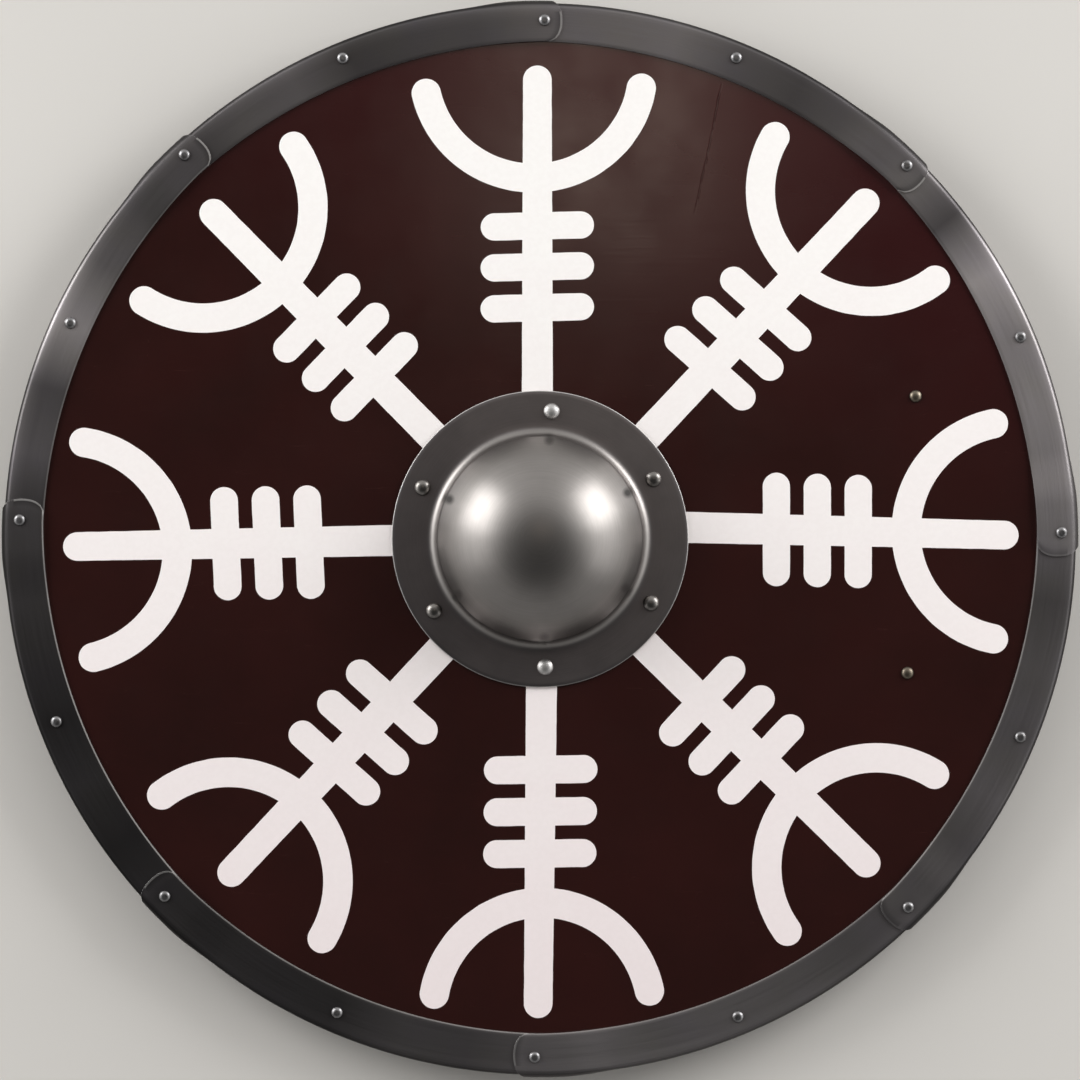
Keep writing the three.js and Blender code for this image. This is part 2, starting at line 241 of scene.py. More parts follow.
class BarSettings(bpy.types.PropertyGroup):
    grip_width: length("Grip width", "Width of the grip", 25 * MM)
    grip_length: length("Grip length", "Length of the grip", 172 * MM)
    grip_thickness: length("Grip thickness", "Thickness of the grip", 3.5 * MM)
    grip_step: length("Grip step", "How far the hand part stands off the board", 3 * MM)
    grip_hand: length("Grip hand part", "Length of the hand part", 104 * MM)
    grip_bend: length("Grip bend", "Length of the step's slope", 9 * MM)
    strap_width: length("Strap width", "Width of the forearm strap", 32 * MM)
    strap_thickness: length("Strap thickness", "Thickness of the forearm strap", 3 * MM)
    strap_end: length("Strap end", "How far the strap goes on past each rivet", 17 * MM)
    strap_landing: length("Strap landing", "Flat on the board, inwards of each rivet", 12 * MM)
    strap_flat: length("Strap flat", "Length of the level middle", 68 * MM)
    grip_round: length("Grip round", "How far the grip's edges are rounded", 0.6 * MM)
    strap_round: length("Strap round", "How far the strap's edges are rounded", 0.9 * MM)
    grip_steel: colour("Grip steel", "The dull forged bar", 92, 91, 93)
    leather: colour("Leather", "The oiled leather", 74, 42, 26)
    leather_dark: colour("Leather, dark", "The leather's creases and edges", 34, 19, 13)


class StageSettings(bpy.types.PropertyGroup):
    camera_height: length("Camera height", "From the rim's face to the camera", 2.5)
    half_view: length("Half view", "Half of what the camera sees across at the rim's face", 305.3 * MM)
    camera_shift: length("Camera offset", "How far the camera is below the shield's middle", 0.6 * MM)
    floor: colour("Floor", "The floor", 214, 211, 206)
    floor_size: length("Floor size", "Width of the floor", 14.0)


SETTINGS = {
    "shield_board": BoardSettings,
    "shield_stave": StaveSettings,
    "shield_rim": RimSettings,
    "shield_boss": BossSettings,
    "shield_rivets": RivetSettings,
    "shield_bars": BarSettings,
    "shield_stage": StageSettings,
}

# ---- Node trees ----


def add(tree, kind, inputs=None, **settings):
    """Adds a node. An input given as a socket is linked, and any other value is set on its socket."""
    node = tree.nodes.new(kind)
    for name, value in settings.items():
        setattr(node, name, value)
    for name, value in (inputs or {}).items():
        if isinstance(value, bpy.types.NodeSocket):
            tree.links.new(value, node.inputs[name])
        else:
            node.inputs[name].default_value = value
    return node


def calculate(tree, operation, first, second=0.0, third=0.0, clamp=False):
    inputs = {0: first, 1: second, 2: third}
    return add(tree, "ShaderNodeMath", inputs, operation=operation, use_clamp=clamp).outputs[0]


def times(tree, first, second):
    return calculate(tree, "MULTIPLY", first, second)


def vector_math(tree, operation, output, *vectors):
    inputs = dict(enumerate(vectors))
    return add(tree, "ShaderNodeVectorMath", inputs, operation=operation).outputs[output]


def parts(tree, vector):
    """The x, y and z of a vector."""
    return add(tree, "ShaderNodeSeparateXYZ", {0: vector}).outputs


def combine(tree, x, y, z):
    return add(tree, "ShaderNodeCombineXYZ", {0: x, 1: y, 2: z}).outputs[0]


def blend(tree, amount, first, second, kind="MIX"):
    """Mixes two colours."""
    inputs = {0: amount, 6: opaque(first), 7: opaque(second)}
    return add(tree, "ShaderNodeMix", inputs, data_type="RGBA", blend_type=kind).outputs[2]


def opaque(value):
    """A colour property as the four numbers that a socket takes."""
    return value if isinstance(value, bpy.types.NodeSocket) else (*value, 1.0)


def tint(tree, base, tone, mask, amount=1.0):
    """Mixes a tone into a base colour where a mask is, by an amount at the most."""
    return blend(tree, times(tree, mask, amount), base, tone)


def between(tree, value, low, high, to_low=0.0, to_high=1.0):
    """Maps the range from low to high onto another, and holds it there."""
    inputs = {0: value, 1: low, 2: high, 3: to_low, 4: to_high}
    return add(tree, "ShaderNodeMapRange", inputs).outputs[0]


def object_place(tree):
    return add(tree, "ShaderNodeTexCoord").outputs["Object"]


def off_axis(tree):
    """The distance from the shield's middle line."""
    flat = vector_math(tree, "MULTIPLY", "Vector", object_place(tree), (1, 1, 0))
    return vector_math(tree, "LENGTH", "Value", flat)


def attribute(tree, name, output="Vector"):
    """A value that the piece's own points carry."""
    return add(tree, "ShaderNodeAttribute", attribute_name=name).outputs[output]


def scaled(tree, vector, x, y, z):
    return add(tree, "ShaderNodeMapping", {"Vector": vector, "Scale": (x, y, z)}).outputs[0]


def cloud(tree, vector, scale, detail, **more):
    """Noise about 0.5."""
    inputs = {"Vector": vector, "Scale": scale, "Detail": detail, **more}
    return add(tree, "ShaderNodeTexNoise", inputs).outputs[0]


def group_tree(name, inputs, outputs, kind="ShaderNodeTree"):
    """A new node group with its sockets, and its input and output nodes."""
    tree = bpy.data.node_groups.new(name, kind)
    for socket, (socket_type, default) in inputs.items():
        made = tree.interface.new_socket(socket, in_out="INPUT", socket_type=socket_type)
        if default is not None:
            made.default_value = default
    for socket, socket_type in outputs.items():
        tree.interface.new_socket(socket, in_out="OUTPUT", socket_type=socket_type)
    return tree, tree.nodes.new("NodeGroupInput").outputs, tree.nodes.new("NodeGroupOutput").inputs


def mottle_group():
    """Soft uneven patches, from 0 to 1."""
    sockets = {
        "Vector": ("NodeSocketVector", None),
        "Scale": ("NodeSocketFloat", 40.0),
        "Detail": ("NodeSocketFloat", 4.0),
        "Contrast": ("NodeSocketFloat", 0.2),
    }
    tree, given, result = group_tree("Mottle", sockets, {"Mask": "NodeSocketFloat"})
    patches = cloud(tree, given["Vector"], given["Scale"], given["Detail"])
    low = calculate(tree, "SUBTRACT", 0.5, given["Contrast"])
    high = calculate(tree, "ADD", 0.5, given["Contrast"])
    tree.links.new(between(tree, patches, low, high), result["Mask"])
    return tree


def scratches_group():
    """Thin scratches in two directions that come and go, as a mask."""
    sockets = {
        "Vector": ("NodeSocketVector", None),
        "Scale": ("NodeSocketFloat", 30.0),
        "Width": ("NodeSocketFloat", 0.006),
        "Amount": ("NodeSocketFloat", 0.5),
    }
    tree, given, result = group_tree("Scratches", sockets, {"Mask": "NodeSocketFloat"})
    found = []
    least = calculate(tree, "SUBTRACT", 1.0, given["Amount"])
    for turn, seed in ((0.5, 0.0), (2.1, 7.0)):
        turned = {"Rotation": (0, 0, turn), "Scale": (1, 14, 1), "Location": (seed, seed, 0)}
        drawn = add(tree, "ShaderNodeMapping", {"Vector": given["Vector"], **turned}).outputs[0]
        wander = cloud(tree, drawn, given["Scale"], 1.0)
        off_line = calculate(tree, "ABSOLUTE", calculate(tree, "SUBTRACT", wander, 0.5))
        faded = calculate(tree, "DIVIDE", off_line, given["Width"])
        line = calculate(tree, "SUBTRACT", 1.0, faded, clamp=True)
        places = {"Vector": drawn, "Scale": given["Scale"], "Detail": 0.0}
        shown = add(tree, "ShaderNodeTexNoise", places).outputs["Color"]
        here = between(tree, shown, least, calculate(tree, "ADD", least, 0.15))
        found.append(times(tree, line, here))
    tree.links.new(calculate(tree, "MAXIMUM", *found), result["Mask"])
    return tree


def streaks_group():
    """Fine drawn lines: the pattern changes fast across the line and slowly along it."""
    sockets = {
        "Along": ("NodeSocketFloat", 0.0),
        "Across": ("NodeSocketFloat", 0.0),
        "Piece": ("NodeSocketFloat", 0.0),
        "Length": ("NodeSocketFloat", 0.05),
        "Width": ("NodeSocketFloat", 0.0006),
    }
    tree, given, result = group_tree("Streaks", sockets, {"Mask": "NodeSocketFloat"})
    x = calculate(tree, "DIVIDE", given["Along"], given["Length"])
    y = calculate(tree, "DIVIDE", given["Across"], given["Width"])
    lines = cloud(tree, combine(tree, x, y, given["Piece"]), 1.0, 3.0)
    tree.links.new(between(tree, lines, 0.3, 0.7), result["Mask"])
    return tree


def hammer_group():
    """The shallow overlapping flats that a hammer leaves, as a height from 0 to 1."""
    sockets = {
        "Vector": ("NodeSocketVector", None),
        "Size": ("NodeSocketFloat", 0.012),
    }
    tree, given, result = group_tree("Hammer marks", sockets, {"Height": "NodeSocketFloat"})
    scale = calculate(tree, "DIVIDE", 1.0, given["Size"])
    inputs = {"Vector": given["Vector"], "Scale": scale, "Smoothness": 0.6}
    flats = add(tree, "ShaderNodeTexVoronoi", inputs, feature="SMOOTH_F1", voronoi_dimensions="3D")
    tree.links.new(flats.outputs["Distance"], result["Height"])
    return tree


def place_group(tree, group, **inputs):
    """Places a shared group in a material with its own values, and returns its first output."""
    return add(tree, "ShaderNodeGroup", inputs, node_tree=Finishes.get(group)).outputs[0]


def bump(tree, height, distance, strength=1.0, under=None):
    inputs = {"Height": height, "Distance": distance, "Strength": strength}
    if under is not None:
        inputs["Normal"] = under
    return add(tree, "ShaderNodeBump", inputs).outputs[0]


def new_material(name, colour_shown, **constants):
    """A material with a Principled surface; returns it, its tree and its surface."""
    material = bpy.data.materials.new(name)
    material.use_nodes = True
    material.diffuse_color = opaque(colour_shown)
    tree = material.node_tree
    tree.nodes.clear()
    surface = add(tree, "ShaderNodeBsdfPrincipled")
    output = add(tree, "ShaderNodeOutputMaterial")
    tree.links.new(surface.outputs[0], output.inputs[0])
    for socket, value in constants.items():
        surface.inputs[socket.replace("_", " ")].default_value = value
    return material, tree, surface


def finish_surface(tree, surface, base, roughness, normal=None):
    tree.links.new(base, surface.inputs["Base Color"])
    tree.links.new(roughness, surface.inputs["Roughness"])
    if normal is not None:
        tree.links.new(normal, surface.inputs["Normal"])


# ---- Materials ----

# An old knock across the face, up on the right: where it starts and ends, and its width.
KNOCK_LINE = (103 * MM, 259 * MM), (87.5 * MM, 183 * MM)
KNOCK_WIDTH = 0.7 * MM


class Finishes:
    """The shader groups that materials share; made once by the first piece that needs them."""

    groups = {}
    makers = {
        "mottle": mottle_group,
        "scratches": scratches_group,
        "streaks": streaks_group,
        "hammer": hammer_group,
    }

    @classmethod
    def get(cls, name):
        if name not in cls.groups:
            cls.groups[name] = cls.makers[name]()
        return cls.groups[name]


def mottle(tree, vector, size, detail=4.0, contrast=0.2):
    """Uneven patches of about a size in metres."""
    inputs = {"Vector": vector, "Scale": 1 / size, "Detail": detail, "Contrast": contrast}
    return place_group(tree, "mottle", **inputs)


def scratches(tree, vector, size, width, amount):
    inputs = {"Vector": vector, "Scale": 1 / size, "Width": width, "Amount": amount}
    return place_group(tree, "scratches", **inputs)


def line_mask(tree, vector, start, end, width):
    """A mask along one line on the face from start to end, which wanders a little."""
    fades = 6 * MM
    way = Vector(end) - Vector(start)
    turned = {"Vector": vector, "Location": (*start, 0), "Rotation": (0, 0, turn_of(way)), "Scale": (1, 1, 1)}
    local = add(tree, "ShaderNodeMapping", turned, vector_type="TEXTURE").outputs[0]
    x, y, _ = parts(tree, local)
    wander = calculate(tree, "SUBTRACT", cloud(tree, local, 60.0, 2.0), 0.5)
    off = calculate(tree, "MULTIPLY_ADD", wander, 3 * width, y)
    beside = between(tree, calculate(tree, "ABSOLUTE", off), width / 2, width, 1.0, 0.0)
    begun = between(tree, x, 0.0, fades)
    ended = between(tree, x, way.length - fades, way.length, 1.0, 0.0)
    return times(tree, beside, times(tree, begun, ended))


def ground_paint(settings):
    """Dark maroon gloss paint, brushed on a little unevenly, with one old knock across it, and painted light
    that makes it lighter and redder up on the right.
    """
    material, tree, surface = new_material("maroon_gloss_paint", settings.ground, IOR=1.5)
    place = object_place(tree)
    patches = mottle(tree, place, 0.07, detail=5.0)
    specks = mottle(tree, place, 0.004, detail=2.0, contrast=0.12)
    base = tint(tree, settings.ground, settings.ground_light, patches, 0.8)
    base = tint(tree, base, settings.ground_light, specks, 0.16)
    x, y, _ = parts(tree, place)
    # Painted light: the ground coat turns lighter and redder towards the upper right.
    painted_light_up_right = between(tree, calculate(tree, "MULTIPLY_ADD", x, 0.35, y), 0.1, 0.3)
    base = blend(tree, painted_light_up_right, base, settings.ground_painted_light)
    knock = line_mask(tree, place, *KNOCK_LINE, KNOCK_WIDTH)
    broken = mottle(tree, place, 0.006, detail=2.0, contrast=0.15)
    knock = times(tree, knock, between(tree, broken, 0.2, 0.8, 0.25, 1.0))
    base = tint(tree, base, shade(14, 6, 5), knock, 0.36)
    hairs = scratches(tree, place, 0.05, width=0.004, amount=0.42)
    base = tint(tree, base, shade(92, 62, 56), hairs, 0.12)
    uneven = mottle(tree, place, 0.03, detail=6.0)
    roughness = between(tree, uneven, 0.0, 1.0, settings.gloss - 0.02, settings.gloss + 0.04)
    brushed = cloud(tree, scaled(tree, place, 26, 420, 1), 1.0, 3.0)
    normal = bump(tree, brushed, 0.01 * MM)
    normal = bump(tree, cloud(tree, place, 22.0, 2.0), 0.06 * MM, under=normal)
    normal = bump(tree, calculate(tree, "SUBTRACT", 1.0, knock), 0.04 * MM, under=normal)
    finish_surface(tree, surface, base, roughness, normal)
    return material


def white_paint(settings):
    """Flat white paint, laid on by brush along the strokes, a little uneven, with painted shade that makes it
    darker and pinker low down.
    """
    material, tree, surface = new_material("white_stave_paint", settings.white, IOR=1.45)
    place = object_place(tree)
    thin = mottle(tree, place, 0.03, detail=6.0, contrast=0.25)
    _, y, _ = parts(tree, place)
    # Painted shade: darker and pinker towards the bottom, mixed with the paint's own unevenness.
    shade_low_down = between(tree, y, 0.2, -0.25)
    uneven = calculate(tree, "SUBTRACT", thin, 0.5)
    uneven_and_shaded = calculate(tree, "MULTIPLY_ADD", uneven, 0.2, shade_low_down, clamp=True)
    base = blend(tree, uneven_and_shaded, settings.white, settings.white_thin_and_shaded)
    specks = mottle(tree, place, 0.0025, detail=1.0, contrast=0.08)
    base = tint(tree, base, shade(214, 204, 200), specks, 0.05)
    roughness = between(tree, thin, 0.0, 1.0, 0.4, 0.52)
    bristles = cloud(tree, place, 260.0, 3.0)
    finish_surface(tree, surface, base, roughness, bump(tree, bristles, 0.02 * MM))
    return material


def stained_wood(settings):
    """Stained birch ply: grain on the faces, stripes of plies on the edges."""
    material, tree, surface = new_material("stained_ply", settings.wood, IOR=1.45)
    place = object_place(tree)
    rings = cloud(tree, scaled(tree, place, 1, 0.09, 1), 34.0, 3.0, Distortion=1.2)
    bands = calculate(tree, "FRACT", times(tree, rings, 9.0))
    grain = between(tree, calculate(tree, "PINGPONG", bands, 0.5), 0.05, 0.4)
    pores = between(tree, cloud(tree, scaled(tree, place, 900, 30, 200), 1.0, 2.0), 0.58, 0.7)
    face = tint(tree, settings.wood_dark, settings.wood, grain, 0.65)
    face = tint(tree, face, settings.wood_dark, pores, 0.6)
    _, _, z = parts(tree, place)
    height = calculate(tree, "DIVIDE", calculate(tree, "SUBTRACT", z, board_low.z), board_thickness)
    ply = calculate(tree, "FRACT", times(tree, height, settings.plies / 2))
    end_grain = blend(tree, between(tree, ply, 0.47, 0.53), settings.wood_dark, shade(128, 88, 56))
    glue = between(tree, calculate(tree, "PINGPONG", ply, 0.5), 0.0, 0.03, 1.0, 0.0)
    end_grain = tint(tree, end_grain, shade(30, 17, 11), glue, 0.8)
    above_back = between(tree, height, 0.015, 0.03)
    below_face = between(tree, height, 0.97, 0.985, 1.0, 0.0)
    base = tint(tree, face, end_grain, above_back, below_face)
    base = tint(tree, base, settings.wood_dark, mottle(tree, place, 0.09), 0.35)
    normal = bump(tree, calculate(tree, "SUBTRACT", grain, pores), 0.04 * MM)
    finish_surface(tree, surface, base, between(tree, grain, 0.0, 1.0, 0.62, 0.5), normal)
    return material


def steel(name, tones, roughness, streak, marks=None, spots=0.0, tone=None):
    """Sheet or bar steel: patches between two tones, streaks, fine scratches and dark spots. streak makes the
    mask of the streaks along its working, marks is the size and depth of the hammer's marks, and tone changes
    the steel's colour from place to place."""
    dark, light = tones
    material, tree, surface = new_material(name, light, Metallic=1.0, IOR=2.5)
    where = object_place(tree)
    lines = streak(tree)
    patches = mottle(tree, where, 0.03, detail=6.0, contrast=0.3)
    base = blend(tree, patches, dark, light)
    base = tint(tree, base, darker(dark, 0.6), lines, 0.18)
    if spots > 0:
        rusty = mottle(tree, where, 0.005, detail=3.0, contrast=0.1)
        base = blend(tree, between(tree, rusty, 0.7, 1.0, 0.0, spots), base, shade(52, 47, 44))
    fine = scratches(tree, where, 0.02, width=0.02, amount=0.5)
    base = tint(tree, base, light, fine, 0.12)
    if tone is not None:
        base = tone(tree, base)
    dull = calculate(tree, "ADD", times(tree, patches, -0.5), times(tree, lines, 0.5))
    rough = between(tree, dull, -0.5, 0.5, *roughness)
    normal = bump(tree, lines, 0.004 * MM)
    if marks is not None:
        size, depth = marks
        hammered = place_group(tree, "hammer", Vector=where, Size=size)
        normal = bump(tree, hammered, depth, under=normal)
    normal = bump(tree, fine, -0.004 * MM, under=normal)
    finish_surface(tree, surface, base, rough, normal)
    return material


def darker(tone, kept):
    """A tone with a share of its brightness."""
    return tuple(kept * part for part in tone)


def cut_steel(settings):
    """The filed cut edge of a sheet, brighter than its faces."""
    return steel("cut_edge_steel", (settings.cut, settings.cut), (0.3, 0.42), drawn_streaks)


def strip_tone(settings):
    """Gives a rim strip's steel its tone at every place, painted shade inside its round end and painted
    highlights on its cut edges.
    """
    fade = 0.4 * MM

    def toned(tree, base):
        base = blend(tree, 1.0, base, attribute(tree, "tone", "Color"), "MULTIPLY")
        off_end, off_edge, _ = parts(tree, attribute(tree, "edge"))
        end_glint, edge_glint, _ = parts(tree, attribute(tree, "burnish"))
        # Painted shade just inside the round end.
        shaded = between(tree, off_end, 1.2 * MM, 4.5 * MM, settings.end_shade, 0.0)
        base = blend(tree, shaded, base, BLACK)
        # Painted highlights along the round end and the front inner edge.
        for distance, width, amount in ((off_end, 0.8 * MM, end_glint), (off_edge, 0.5 * MM, edge_glint)):
            glinting = between(tree, distance, width, width + fade, 1.0, 0.0)
            base = tint(tree, base, settings.cut, glinting, amount)
        return base

    return toned


def sheet_streaks(tree):
    """Fine lines along a rim strip; sheet_place is along it, across it, and the strip's own number."""
    x, y, z = parts(tree, attribute(tree, "sheet_place"))
    return place_group(tree, "streaks", Along=x, Across=y, Piece=z, Length=0.05, Width=0.0009)


def turned_streaks(tree):
    """Rings of fine lines about Z that fade and come back on the way round."""
    x, y, z = parts(tree, object_place(tree))
    across = calculate(tree, "SUBTRACT", off_axis(tree), z)
    piece = times(tree, y, 40.0)
    return place_group(tree, "streaks", Along=x, Across=across, Piece=piece, Length=0.025, Width=0.0007)


def drawn_streaks(tree):
    """Fine lines along Y."""
    x, y, z = parts(tree, object_place(tree))
    return place_group(tree, "streaks", Along=y, Across=x, Piece=z, Length=0.03, Width=0.0008)


def oiled_leather(settings):
    """Oiled harness leather: pebbled grain, soft creases, and a pressed line inside dark burnished edges."""
    material, tree, surface = new_material("oiled_leather", settings.leather, IOR=1.45)
    place = object_place(tree)
    wear = mottle(tree, place, 0.02, detail=5.0)
    cells = {"Vector": place, "Scale": 900.0}
    pebbles = add(tree, "ShaderNodeTexVoronoi", cells, feature="F1").outputs["Distance"]
    creases = between(tree, cloud(tree, scaled(tree, place, 70, 260, 70), 1.0, 4.0), 0.52, 0.66)
    edge = attribute(tree, "near_edge", "Fac")
    base = tint(tree, settings.leather_dark, settings.leather, wear, 0.7)
    base = tint(tree, base, settings.leather_dark, creases, 0.5)
    base = tint(tree, base, settings.leather_dark, edge, 0.8)
    roughness = between(tree, calculate(tree, "ADD", wear, edge), 0.0, 1.4, 0.62, 0.42)
    off_line = calculate(tree, "ABSOLUTE", calculate(tree, "SUBTRACT", edge, 0.45))
    normal = bump(tree, pebbles, 0.09 * MM, 0.7)
    normal = bump(tree, creases, -0.08 * MM, under=normal)
    normal = bump(tree, between(tree, off_line, 0.0, 0.12), 0.2 * MM, under=normal)
    finish_surface(tree, surface, base, roughness, normal)
    return material


def floor_finish(settings):
    """A plain pale floor with a faint unevenness."""
    material, tree, surface = new_material("pale_floor", settings.floor, IOR=1.45)
    patches = mottle(tree, object_place(tree), 0.5)
    base = blend(tree, patches, darker(settings.floor, 0.93), settings.floor)
    finish_surface(tree, surface, base, between(tree, patches, 0.0, 1.0, 0.7, 0.85))
    return material


# ---- Meshes ----


def give_points(made, name, kind, values):
    """Gives each of an object's points a value of a kind."""
    field = {"FLOAT": "value", "FLOAT_VECTOR": "vector", "FLOAT_COLOR": "color"}[kind]
    made.data.attributes.new(name, kind, "POINT").data.foreach_set(field, np.ravel(values))


def new_object(name, points, faces, material=None):
    mesh = bpy.data.meshes.new(name)
    mesh.from_pydata([tuple(p) for p in points], [], [tuple(f) for f in faces])
    mesh.validate()
    made = bpy.data.objects.new(name, mesh)
    bpy.context.scene.collection.objects.link(made)
    if material is not None:
        mesh.materials.append(material)
    return made


def bake_down(made, sharp=40):
    """Turns the object's modifiers into plain mesh, with smooth faces and sharp creases past an angle."""
    depsgraph = bpy.context.evaluated_depsgraph_get()
    mesh = bpy.data.meshes.new_from_object(made.evaluated_get(depsgraph))
    mesh.name = made.name
    made.modifiers.clear()
    made.data = mesh
    mesh.shade_smooth()
    mesh.set_sharp_from_angle(angle=math.radians(sharp))
    return made


def round_edges(made, width, sharp=40, segments=2, finish=None):
    """Rounds the sharp edges, which may get a finish of their own."""
    modifier = made.modifiers.new("Round edges", "BEVEL")
    if finish is not None:
        made.data.materials.append(finish)
        modifier.material = len(made.data.materials) - 1
    modifier.width = width
    modifier.segments = segments
    modifier.angle_limit = math.radians(sharp)
    return made


def finish_piece(made, slot, *nodes):
    """The piece rides on the shield and stands for its nodes, which are hidden; slot is not used."""
    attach(made, "root")
    if nodes:
        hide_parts(*nodes)
    return made


def turned_shape(name, profile, sides, material, wobble=None):
    """Turns a closed (radius, height) profile about Z. A point at radius 0 is one vertex."""
    points, rings = [], []
    for radius, height in profile:
        count = sides if radius > 0 else 1
        rings.append(range(len(points), len(points) + count))
        for step in range(count):
            turn = 2 * math.pi * step / sides
            points.append(Vector((radius * math.cos(turn), radius * math.sin(turn), height)))
    faces = []
    for low, high in zip(rings, rings[1:] + rings[:1]):
        for step in range(sides):
            after = (step + 1) % sides
            below = [low[step % len(low)], low[after % len(low)]]
            above = [high[after % len(high)], high[step % len(high)]]
            corners = list(dict.fromkeys(below + above))
            if len(corners) > 2:
                faces.append(corners)
    if wobble is not None:
        points = [wobble(p) for p in points]
    return new_object(name, points, faces, material)


def arc(centre_radius, centre_height, radius, start, end, steps):
    """Points of an arc in a (radius, height) profile, by angles in degrees."""
    turns = np.radians(np.linspace(start, end, steps + 1))
    return [(centre_radius + radius * math.cos(t), centre_height + radius * math.sin(t)) for t in turns]


def smooth_step(value):
    value = min(max(value, 0.0), 1.0)
    return value * value * (3 - 2 * value)


# ---- Board ----


class SHIELD_OT_board(bpy.types.Operator):
    """Make the ply board, with its plies and its rounded edges"""

    bl_idname = "shield.board"
    bl_label = "Board"

    def execute(self, context):
        settings = context.scene.shield_board
        outside, hole, rounding = board_high.x, settings.hand_hole, settings.edge_round
        low, high = board_low.z, board_high.z - settings.coat / 2
        chamfer = 0.4 * MM
        flat = list(np.linspace(hole + chamfer, outside - rounding, 8))
        profile = [(radius, low) for radius in flat]
        profile += arc(outside - rounding, low + rounding, rounding, -90, 0, 4)[1:]
        profile += [(outside, z) for z in np.linspace(low + rounding, high - rounding, 4)[1:]]
        profile += arc(outside - rounding, high - rounding, rounding, 0, 90, 4)[1:]
        profile += [(radius, high) for radius in reversed(flat[:-1])]
        profile += [(hole, high - chamfer), (hole, (low + high) / 2), (hole, low + chamfer)]
        made = turned_shape("board", profile, 192, stained_wood(settings))
        finish_piece(bake_down(made, 50), "painted_wood", "board")
        return {"FINISHED"}


class SHIELD_OT_painted_face(bpy.types.Operator):
    """Lay the maroon ground coat on the board's face"""

    bl_idname = "shield.painted_face"
    bl_label = "Painted face"

    def execute(self, context):
        settings = context.scene.shield_board
        outside = board_high.x - settings.edge_round
        top, under = board_high.z + settings.coat / 2, board_high.z - settings.coat
        across = list(np.linspace(settings.hand_hole, outside, 14))
        profile = [(radius, under) for radius in across] + [(radius, top) for radius in reversed(across)]
        made = turned_shape("painted_face", profile, 160, ground_paint(settings))
        flat_map(made, outside)
        finish_piece(bake_down(made), "painted_wood")
        return {"FINISHED"}


def flat_map(made, reach):
    """A map that looks straight down on the piece and all but fills its square."""
    layer = made.data.uv_layers.new(name="OFBake")
    scale = 0.499 / reach
    for corner, loop in enumerate(made.data.loops):
        point = made.data.vertices[loop.vertex_index].co
        layer.data[corner].uv = (0.5 + scale * point.x, 0.5 + scale * point.y)


# ---- Painted stave ----

# How each arm lies, from the top and clockwise: how far it leans (degrees), how far it is off to the side,
# clockwise, and how far out (millimetres), and how long it is, as a share of the settings' own length.
ARM_PLACES = [
    (0, -1.5, 1.25, 0.99),
    (-1.8, 3.75, 7.5, 0.985),
    (1.4, -8.5, 4.25, 0.99),
    (-0.4, 1, -1, 1),
    (0.6, -1.75, -2.25, 1.015),
    (-1.8, -1.75, -8.25, 1.015),
    (-1.1, 0.75, -0.75, 1.005),
    (0.5, -2.5, 1, 0.995),
]
CROSS_BARS = 3
STROKE_STEP = 1.2 * MM  # between the points of a stroke's outline
# How far the hand left a stroke's edge off its line, and over what length.
SHAKE, SHAKE_SIZE = 0.12 * MM, 7 * MM


def round_ended(path, widths):
    """The outline of a brush stroke along a path, with round ends; widths are half widths at its points."""
    left, right = [], []
    for index, point in enumerate(path):
        before, after = path[max(index - 1, 0)], path[min(index + 1, len(path) - 1)]
        way = (after - before).normalized()
        side = Vector((-way.y, way.x)) * widths[index]
        left.append(point + side)
        right.append(point - side)
    outline = right
    for end, start_side in ((path[-1], right[-1]), (path[0], left[0])):
        reach = start_side - end
        steps = max(6, round(math.pi * reach.length / STROKE_STEP))
        cap = [end + Matrix.Rotation(math.pi * s / steps, 2) @ reach for s in range(1, steps)]
        outline = outline + cap + (list(reversed(left)) if end is path[-1] else [])
    return outline


def straight_stroke(start, end, start_width, end_width):
    start, end = Vector(start), Vector(end)
    steps = max(2, round((end - start).length / STROKE_STEP))
    path = [start.lerp(end, s / steps) for s in range(steps + 1)]
    return round_ended(path, np.linspace(start_width, end_width, steps + 1))


def arm_strokes(settings):
    """The outlines of one arm's strokes; the arm goes out along +X and its clockwise side is -Y."""
    half = settings.stem_width
    tip = settings.stem_end_width
    strokes = [straight_stroke((settings.stem_start + half, 0), (settings.stem_end - tip, 0), half, tip)]
    for bar in range(CROSS_BARS):
        middle = settings.first_bar + bar * settings.bar_spacing
        reach = settings.bar_reach - settings.bar_width
        slope = math.tan(settings.bar_tilt) * reach
        ends = [(middle - slope, reach), (middle + slope, -reach)]
        strokes.append(straight_stroke(*ends, settings.bar_width, settings.bar_width))
    around = Vector((settings.arc_centre, -settings.arc_offset))
    sweep = settings.arc_left + settings.arc_right
    steps = round(sweep * settings.arc_radius / STROKE_STEP)
    turns = np.linspace(settings.arc_left, -settings.arc_right, steps + 1)
    path = [around + settings.arc_radius * Vector((-math.cos(t), math.sin(t))) for t in turns]
    strokes.append(round_ended(path, [settings.arc_width] * len(path)))
    return strokes


